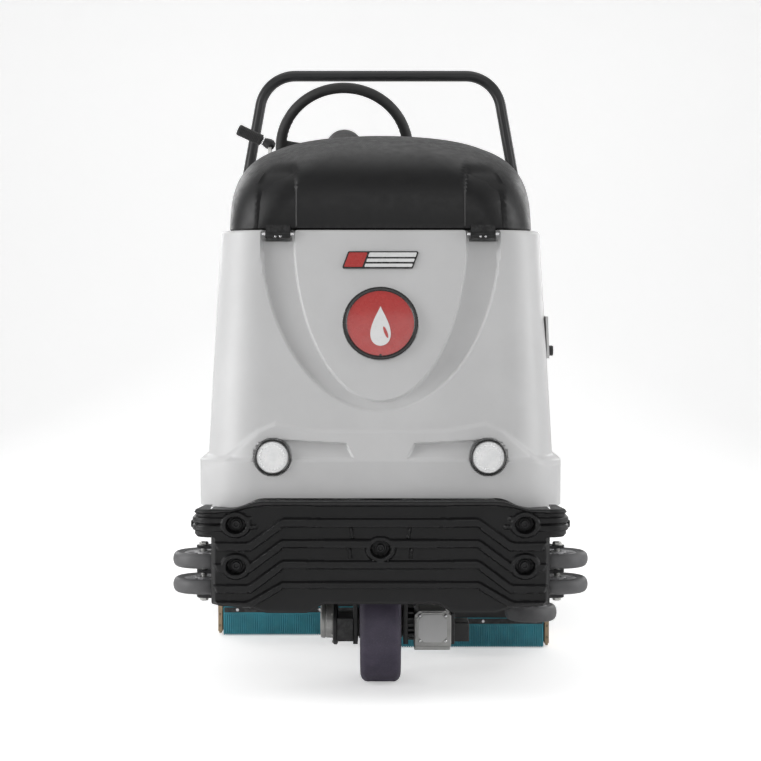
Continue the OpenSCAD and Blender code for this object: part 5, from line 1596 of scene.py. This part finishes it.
def rear():
    restyle("rear_body", 7.0, segments=4)
    low, high = box_mm("rear_body")
    top, x1, y0, y1 = high[2] - 18, high[0], low[1], high[1]
    s = Shape("seal_rubber", "console_plastic", "motor_black", "red_plastic", "zinc", "white_ink")
    # service panels on the sides
    for side in (-1, 1):
        m = Matrix.Translation((side * (x1 - 1.2), 0, 0)) @ Matrix.Rotation(side * QUARTER, 4, "Z") @ STAND
        # service panel with a rim, louvres and two turn locks
        a0, a1 = (y0 + 90, 490) if side > 0 else (-490, -(y0 + 90))
        s.prism(round_outline([(a0, 400), (a1, 400), (a1, 650), (a0, 650)], 26, 8), 0, 4.2,
                "console_plastic", m)
        s.prism(round_outline([(a0 + 9, 409), (a1 - 9, 409), (a1 - 9, 641), (a0 + 9, 641)], 19, 8), 3.4, 5.2,
                "console_plastic", m)
        for i in range(9):
            s.prism(round_outline([(a0 + 34, 430 + i * 11), (a1 - 34, 430 + i * 11),
                                   (a1 - 34, 435.5 + i * 11), (a0 + 34, 435.5 + i * 11)], 2.4, 3),
                    4.6, 7.4, "motor_black", m)
        for a in (a0 + 30, a1 - 30):
            s.lathe([(0, 0), (9, 0), (9, 2.5), (7.6, 3.6), (0, 3.6)], None, n=28, mat="zinc",
                    matrix=m @ Matrix.Translation((a, 618, 5)))
            s.box((-6, -1, 3), (6, 1, 4.2), "motor_black", m @ Matrix.Translation((a, 618, 5)))
        b0, b1 = (512, y1 - 50) if side > 0 else (-(y1 - 50), -512)
        s.prism(round_outline([(b0, 420), (b1, 420), (b1, 640), (b0, 640)], 22, 8), 0, 3.4,
                "console_plastic", m)
        for i in range(2):
            c = b0 + (b1 - b0) * (0.3 + 0.4 * i)
            s.screw(tuple(m @ Vector((c, 436, 3.2))), (side, 0, 0), 4, 2)
            s.screw(tuple(m @ Vector((c, 624, 3.2))), (side, 0, 0), 4, 2)
    # rear face: lamps, louvred panels, hose collar
    m = Matrix.Translation((0, y1 - 1.0, 0)) @ Matrix.Rotation(math.pi, 4, "Z") @ STAND
    for side in (-1, 1):
        c = side * 285
        s.prism(round_outline([(c - 46, 640), (c + 46, 640), (c + 46, 672), (c - 46, 672)], 13, 8), 0, 6,
                "motor_black", m)
        s.prism(round_outline([(c - 42, 644), (c + 42, 644), (c + 42, 668), (c - 42, 668)], 10, 8), 5, 8.5,
                "red_plastic", m)
        s.prism(round_outline([(c - 60, 360), (c + 60, 360), (c + 60, 560), (c - 60, 560)], 18, 8), 0, 3.5,
                "console_plastic", m)
        for i in range(10):
            s.prism(round_outline([(c - 42, 382 + i * 15), (c + 42, 382 + i * 15), (c + 42, 388 + i * 15),
                                   (c - 42, 388 + i * 15)], 2.6, 3),
                    3, 5.4, "motor_black", m)
    s.lathe([(25, 0), (38, 0), (38, 5), (34, 9), (27, 9), (25, 7), (25, 0)], (0, y1 - 1, 590), (0, 1, 0), 60,
            "motor_black")
    for i in range(4):
        a = math.pi / 4 + math.pi / 2 * i
        s.cap_bolt((31.5 * math.cos(a), y1 + 7.6, 590 + 31.5 * math.sin(a)), (0, 1, 0), 2.8, 2.6)
    # cover plate under the seat
    s.prism(round_outline([(-345, y0 + 26), (345, y0 + 26), (345, 512), (-345, 512)], 34, 8), top - 1,
            top + 0.9, "console_plastic")
    s.piece("rear_trim", "chassis", "console_plastic", angle=40, bevel=0.7)

    cx, cy, _ = middle("recovery_cap")
    low, high = box_mm("recovery_cap")
    cap = Shape("console_plastic", "seal_rubber")
    cap.lathe([(60.5, 0), (66, 0), (68, 2), (70, 5), (70, 22), (67, 27), (60, 29.4), (50, 30), (34, 28.6),
               (0, 28.6), (0, 17), (60.5, 17), (60.5, 0)],
              (cx, cy, low[2] + 0.05), (0, 0, 1), 128,
              lobes=lambda a, h: (-6.0 * smooth((math.cos(a * 8) - 0.35) / 0.5)
                                  if 2 < h < 29.8 and h != 28.6 else 0))
    cap.box((cx - 38, cy - 5, low[2] + 27), (cx + 38, cy + 5, low[2] + 29.9))
    cap.piece("tank_cap", "recovery_cap", "console_plastic", "recovery_cap", angle=40)

    low, high = box_mm("batteries")
    restyle("batteries", 3.0, segments=3)
    b = Shape("red_plastic", "zinc", "motor_black")
    for x in (-285, -95, 95, 285):
        for dy, mat in ((-120, "red_plastic"), (120, "motor_black")):
            y = (low[1] + high[1]) / 2 + dy
            b.lathe([(0, 0), (12, 0), (11, 9), (0, 9)], (x + 45, y, high[2] - 0.5), (0, 0, 1), 24, "zinc")
            b.lathe([(0, 0), (15, 0), (15, 5), (0, 5)], (x + 45, y, high[2] - 0.5), (0, 0, 1), 24, mat)
        for i in range(6):
            b.lathe([(0, 0), (8, 0), (7, 4), (0, 4)], (x - 25, low[1] + 40 + i * 48, high[2] - 0.5),
                    (0, 0, 1), 16, "motor_black")
    b.piece("battery_posts", "chassis", "zinc", bevel=0.4)
    cx, cy, _ = middle("vacuum_motor")
    low, high = box_mm("vacuum_motor")
    v = Shape("grey_steel", "zinc")
    prof = [(0, 0), (58, 0), (60, 3), (60, 30), (72, 32), (74, 36), (74, 70)]
    for i in range(9):
        prof += [(74, 74 + i * 9), (69, 76 + i * 9), (69, 79 + i * 9), (74, 81 + i * 9)]
    prof += [(74, 165), (74, high[2] - low[2] - 4), (70, high[2] - low[2]), (0, high[2] - low[2])]
    v.lathe(prof, (cx, cy, low[2]), (0, 0, 1), 80)
    v.piece("vacuum_can", "chassis", "grey_steel", "vacuum_motor", angle=35)


def road_wheel(node):
    low, high = box_mm(node)
    cx, cy, cz = [(a + b) / 2 for a, b in zip(low, high)]
    r, w = (high[2] - low[2]) / 2, (high[0] - low[0]) / 2
    core = r - 38
    s = Shape("grey_tyre", "wheel_core", "zinc")
    tyre = [(core, -w + 3), (core + 12, -w + 0.4), (r - 24, -w), (r - 14, -w + 1.5), (r - 5, -w + 7),
            (r - 1.4, -w + 15)]
    for x in (-22, -8, 8, 22):
        tyre += [(r - 0.3, x - 3.5), (r - 3, x - 2), (r - 3, x + 2), (r - 0.3, x + 3.5)]
    tyre += [(r - 1.4, w - 15), (r - 5, w - 7), (r - 14, w - 1.5), (r - 24, w), (core + 12, w - 0.4),
             (core, w - 3), (core, -w + 3)]
    s.lathe(tyre, (cx, cy, cz), (1, 0, 0), 128)
    s.lathe([(15, -w + 6), (30, -w + 6), (34, -w + 14), (core - 16, -w + 20), (core - 4, -w + 7),
             (core + 0.5, -w + 6),
             (core + 0.5, w - 6), (core - 4, w - 7), (core - 16, w - 20), (34, w - 14), (30, w - 6),
             (15, w - 6), (15, -w + 6)],
            (cx, cy, cz), (1, 0, 0), 96, "wheel_core")
    for side in (-1, 1):
        for i in range(5):
            a = 2 * math.pi * i / 5
            m = Matrix.Translation((cx, cy, cz)) @ Matrix.Rotation(a, 4, "X")
            x0, x1 = sorted((side * (w - 20), side * (w - 11)))
            s.box((x0, -5, 30), (x1, 5, core - 8), "wheel_core", m)
            s.hex_bolt(tuple(m @ Vector((side * (w - 7.5), 0, 23))), (side, 0, 0), 3.6, 3.5)
    s.piece(node + "_tyre", BODY[node], "grey_tyre", node, angle=40)


rear()
road_wheel("rear_wheel_left")
road_wheel("rear_wheel_right")
restyle("rear_axle", 1.0)


# ---------------------------------------------------------------- seat

def rounded_slab(low, high, corner, edge, rows=10):
    """A cushion form: rounded in plan and over both edges. Local Z is its thickness."""
    rings = []
    x0, y0, z0 = low
    x1, y1, z1 = high
    for top in (False, True):
        for i in range(rows + 1):
            a = math.pi / 2 * i / rows
            inset = edge * (1 - (math.sin(a) if not top else math.cos(a)))
            z = z0 + edge * (1 - math.cos(a)) if not top else z1 - edge * (1 - math.sin(a))
            pts = [(x0 + inset, y0 + inset), (x1 - inset, y0 + inset), (x1 - inset, y1 - inset),
                   (x0 + inset, y1 - inset)]
            ring = round_outline(pts, max(4, corner - inset), 10)
            dense = []
            for (ax, ay), (bx, by) in zip(ring, ring[1:] + ring[:1]):
                n = max(1, int(math.hypot(bx - ax, by - ay) / 12)) if math.hypot(bx - ax, by - ay) > 20 else 1
                dense += [(ax + (bx - ax) * k / n, ay + (by - ay) * k / n, z) for k in range(n)]
            rings.append(dense)
    count = min(len(r) for r in rings)
    return [r for r in rings if len(r) == count] if len({len(r) for r in rings}) > 1 else rings


def cushion(name, node, solid, lie, seam):
    """A cushion mesh pressed out by a cloth run, then seamed; lie takes local millimetres to the machine."""
    (sx, sy, sz), corner, edge = solid
    s = Shape("seat_vinyl")
    rings = rounded_slab((-sx, -sy, 0), (sx, sy, sz), corner, edge)
    verts, faces = strip(rings)
    s.add(verts, faces)
    obj = make_object(name, s.verts, s.faces, ["seat_vinyl"], None, 180)
    remesh = obj.modifiers.new("remesh", "REMESH")
    remesh.mode = "VOXEL"
    remesh.voxel_size = 0.006
    bake(obj)
    press(obj)
    # draw in along the seams: each is a rounded groove, the panels crown between them
    for v in obj.data.vertices:
        p = v.co / MM
        x, y, z = seam(p, sz)
        v.co = Vector((x, y, max(0.0, z))) * MM
    sub = obj.modifiers.new("sub", "SUBSURF")
    sub.levels = sub.render_levels = 1
    bake(obj)
    obj.data.transform(Matrix.Scale(MM, 4) @ lie @ Matrix.Scale(1 / MM, 4))
    for p in obj.data.polygons:
        p.use_smooth = True
    obj.data.materials.clear()
    obj.data.materials.append(M["seat_vinyl"])
    settle(obj, "seat", "seat_vinyl", node)
    return obj


def bake(obj):
    """Applies an object's modifiers."""
    graph = bpy.context.evaluated_depsgraph_get()
    mesh = bpy.data.meshes.new_from_object(obj.evaluated_get(graph))
    obj.modifiers.clear()
    obj.data = mesh


def press(obj):
    """A short cloth run with inner pressure, with the travel kept under 9 mm."""
    start = [v.co.copy() for v in obj.data.vertices]
    cloth = obj.modifiers.new("cloth", "CLOTH")
    c = cloth.settings
    c.quality = 6
    c.mass = 0.35
    c.tension_stiffness = c.compression_stiffness = 22
    c.shear_stiffness = 12
    c.bending_stiffness = 3
    c.use_pressure = True
    c.uniform_pressure_force = 4
    c.effector_weights.gravity = 0
    cloth.collision_settings.use_collision = False
    scene = bpy.context.scene
    for f in range(1, 21):
        scene.frame_set(f)
    graph = bpy.context.evaluated_depsgraph_get()
    mesh = bpy.data.meshes.new_from_object(obj.evaluated_get(graph))
    obj.modifiers.clear()
    for v, s in zip(mesh.vertices, start):
        d = v.co - s
        if d.length > 0.009:
            v.co = s + d.normalized() * 0.009
    obj.data = mesh
    scene.frame_set(1)


def seat():
    restyle("seat_frame", 1.2)
    low, high = box_mm("seat_cushion")
    hx, hy = (high[0] - low[0]) / 2 - 8, (high[1] - low[1]) / 2 - 8
    t = high[2] - low[2] - 8

    def seat_seam(p, sz):
        x, y, z = p
        up = smooth((z - sz * 0.55) / (sz * 0.4))
        side = smooth((abs(x) - 138) / 26)
        dish = -13 * up * math.exp(-((x / 120) ** 2 + ((y - 15) / 130) ** 2))
        roll = 7 * up * side * (1 - smooth((abs(x) - 185) / 25))
        groove = 0.0
        groove += math.exp(-((abs(x) - 140 - 8 * (y / hy) ** 2) / 4.2) ** 2)
        if abs(x) < 140:
            for yy in (-62, 0, 62):
                groove += 0.75 * math.exp(-((y - yy) / 4.0) ** 2)
        belt = math.exp(-((z - sz * 0.62) / 2.2) ** 2)
        edge = smooth((max(abs(x) / hx, abs(y) / hy) - 0.93) / 0.05)
        wrinkle = 1.1 * noise.noise(Vector((x, y, z)) / 46) + 0.5 * noise.noise(Vector((x, y, z)) / 17)
        dz = dish + roll - 6.0 * min(1.0, groove) * up + wrinkle * up
        k = 1 - 0.010 * belt * edge
        return (x * k, y * k, min(sz + 1.0, z + dz))

    lie = Matrix.Translation(((low[0] + high[0]) / 2, (low[1] + high[1]) / 2, low[2] + 3))
    cushion("seat_pad", "seat_cushion", ((hx, hy, t), 46, 30), lie, seat_seam)

    low, high = box_mm("seat_back")
    h = high[2] - low[2]
    half = (high[0] - low[0]) / 2 - 8
    tilt = math.atan2(0.06, 1.0)
    thick = 60.0

    def back_seam(p, sz):
        x, y, z = p
        up = smooth((z - sz * 0.5) / (sz * 0.45))
        groove = math.exp(-((abs(x) - 132 + 10 * (y / h) ** 2) / 4.2) ** 2)
        if abs(x) < 132:
            for yy in (-110, -40, 30, 100):
                groove += 0.75 * math.exp(-((y - yy) / 4.0) ** 2)
        dish = -9 * up * math.exp(-((x / 100) ** 2 + ((y + 20) / 150) ** 2))
        lumbar = 6 * up * math.exp(-(((y + 95) / 60) ** 2 + (x / 110) ** 2))
        wrinkle = 1.1 * noise.noise(Vector((x + 300, y, z)) / 46) + 0.5 * noise.noise(Vector((x, y + 200,
                z)) / 17)
        # narrower, rounder shoulders
        k = 1 - 0.10 * smooth((y - 60) / 130)
        return (x * k, y, min(sz + 1.0, z + dish + lumbar - 6.0 * min(1, groove) * up + wrinkle * up))

    mid_z = (low[2] + high[2]) / 2
    back_y = 552 + (mid_z - 746) * 0.06
    lie = Matrix.Translation((0, back_y - 3.0, mid_z)) @ Matrix.Rotation(-tilt, 4, "X") @ STAND
    cushion("seat_rest", "seat_back", ((half, h / 2 - 6, thick), 52, 24), lie, back_seam)
    # slide rails, and the levers at the front corners
    s = Shape("seal_rubber", "zinc", "black_steel")
    lo, hi = box_mm("seat_frame")
    for side in (-1, 1):
        s.box((side * 170 - 21, lo[1] + 20, lo[2] + 3), (side * 170 + 21, hi[1] - 70, lo[2] + 9), "zinc")
        s.tube([(side * 205, 240, 741), (side * 214, 236, 741), (side * 224, 222, 741),
                (side * 224, 196, 741)], 4.5, 14, "black_steel")
        s.lathe([(0, 0), (7, 1), (8, 6), (7.5, 22), (5, 26), (0, 27)], (side * 224, 200, 741), (0, -1, 0),
                24, "seal_rubber")
    s.piece("seat_levers", "seat", "black_steel", angle=40)


seat()


# ---------------------------------------------------------------- squeegee and hose

# centre of the bow along Y, and its radius
SQUEEGEE_BOW = (-75.0, 900.0)


def squeegee():
    restyle("squeegee_arm", 1.5)
    restyle("squeegee_head", 1.6, segments=3)
    restyle("squeegee_blades", 0.6)
    s = Shape("zinc", "motor_black", "chrome")
    cy, r = SQUEEGEE_BOW
    for deg in (-27, -18, -9, 9, 18, 27):
        a = math.radians(deg)
        x, y = (r - 22) * math.sin(a), cy + (r - 22) * math.cos(a)
        s.lathe([(0, 0), (5, 0), (5, 6), (0, 6)], (x, y, 91), (0, 0, 1), 20, "zinc")
        s.lathe([(0, 5), (16, 5), (17, 7), (17, 17), (14, 21), (0, 22)], (x, y, 91), (0, 0, 1), 40,
                "motor_black",
                lobes=lambda b, h: -2.4 * smooth((math.cos(b * 6) - 0.2) / 0.6) if 6 < h < 20 else 0)
    for side in (-1, 1):
        a = math.radians(side * 31.2)
        x, y = (r - 26) * math.sin(a), cy + (r - 26) * math.cos(a)
        s.lathe([(0, 0), (20, 0), (22, 3), (22, 17), (20, 20), (0, 20)], (x, y, 63), (0, 0, 1), 40,
                "motor_black")
        s.hex_bolt((x, y, 91.5), (0, 0, 1), 6, 6)
    s.piece("squeegee_knobs", "squeegee", "motor_black", angle=40, bevel=0.3)


def hose():
    low, high = box_mm("suction_hose")
    r = 24.0
    y, z0, bend = high[1] - r, low[2], 50.0
    top = high[2] - r
    path = []
    step = 1.5
    z = z0 + 0.8
    while z < top - bend:
        path.append((0, y, z))
        z += step
    n = int(bend * math.pi / 2 / step)
    for i in range(n + 1):
        a = math.pi / 2 * i / n
        path.append((0, y - bend + bend * math.cos(a), top - bend + bend * math.sin(a)))
    yy = y - bend
    while yy > low[1] + 0.8:
        yy = max(low[1] + 0.4, yy - step)
        path.append((0, yy, top))
    total, radii = 0.0, []
    prev = Vector(path[0])
    length = sum((Vector(b) - Vector(a)).length for a, b in zip(path, path[1:]))
    for p in path:
        total += (Vector(p) - prev).length
        prev = Vector(p)
        cuff = total < 42 or total > length - 26
        wave = 0.5 + 0.5 * math.cos(2 * math.pi * total / 7.5)
        radii.append(r - 0.3 if cuff else r - 0.4 - 3.4 * wave ** 1.6)
    s = Shape("hose_black")
    s.tube(path, radii, 36)
    obj = make_object("ribbed_hose", s.verts, s.faces, s.mats, s.face_mats, 60)
    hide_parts("suction_hose")
    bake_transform(obj)


squeegee()
hose()
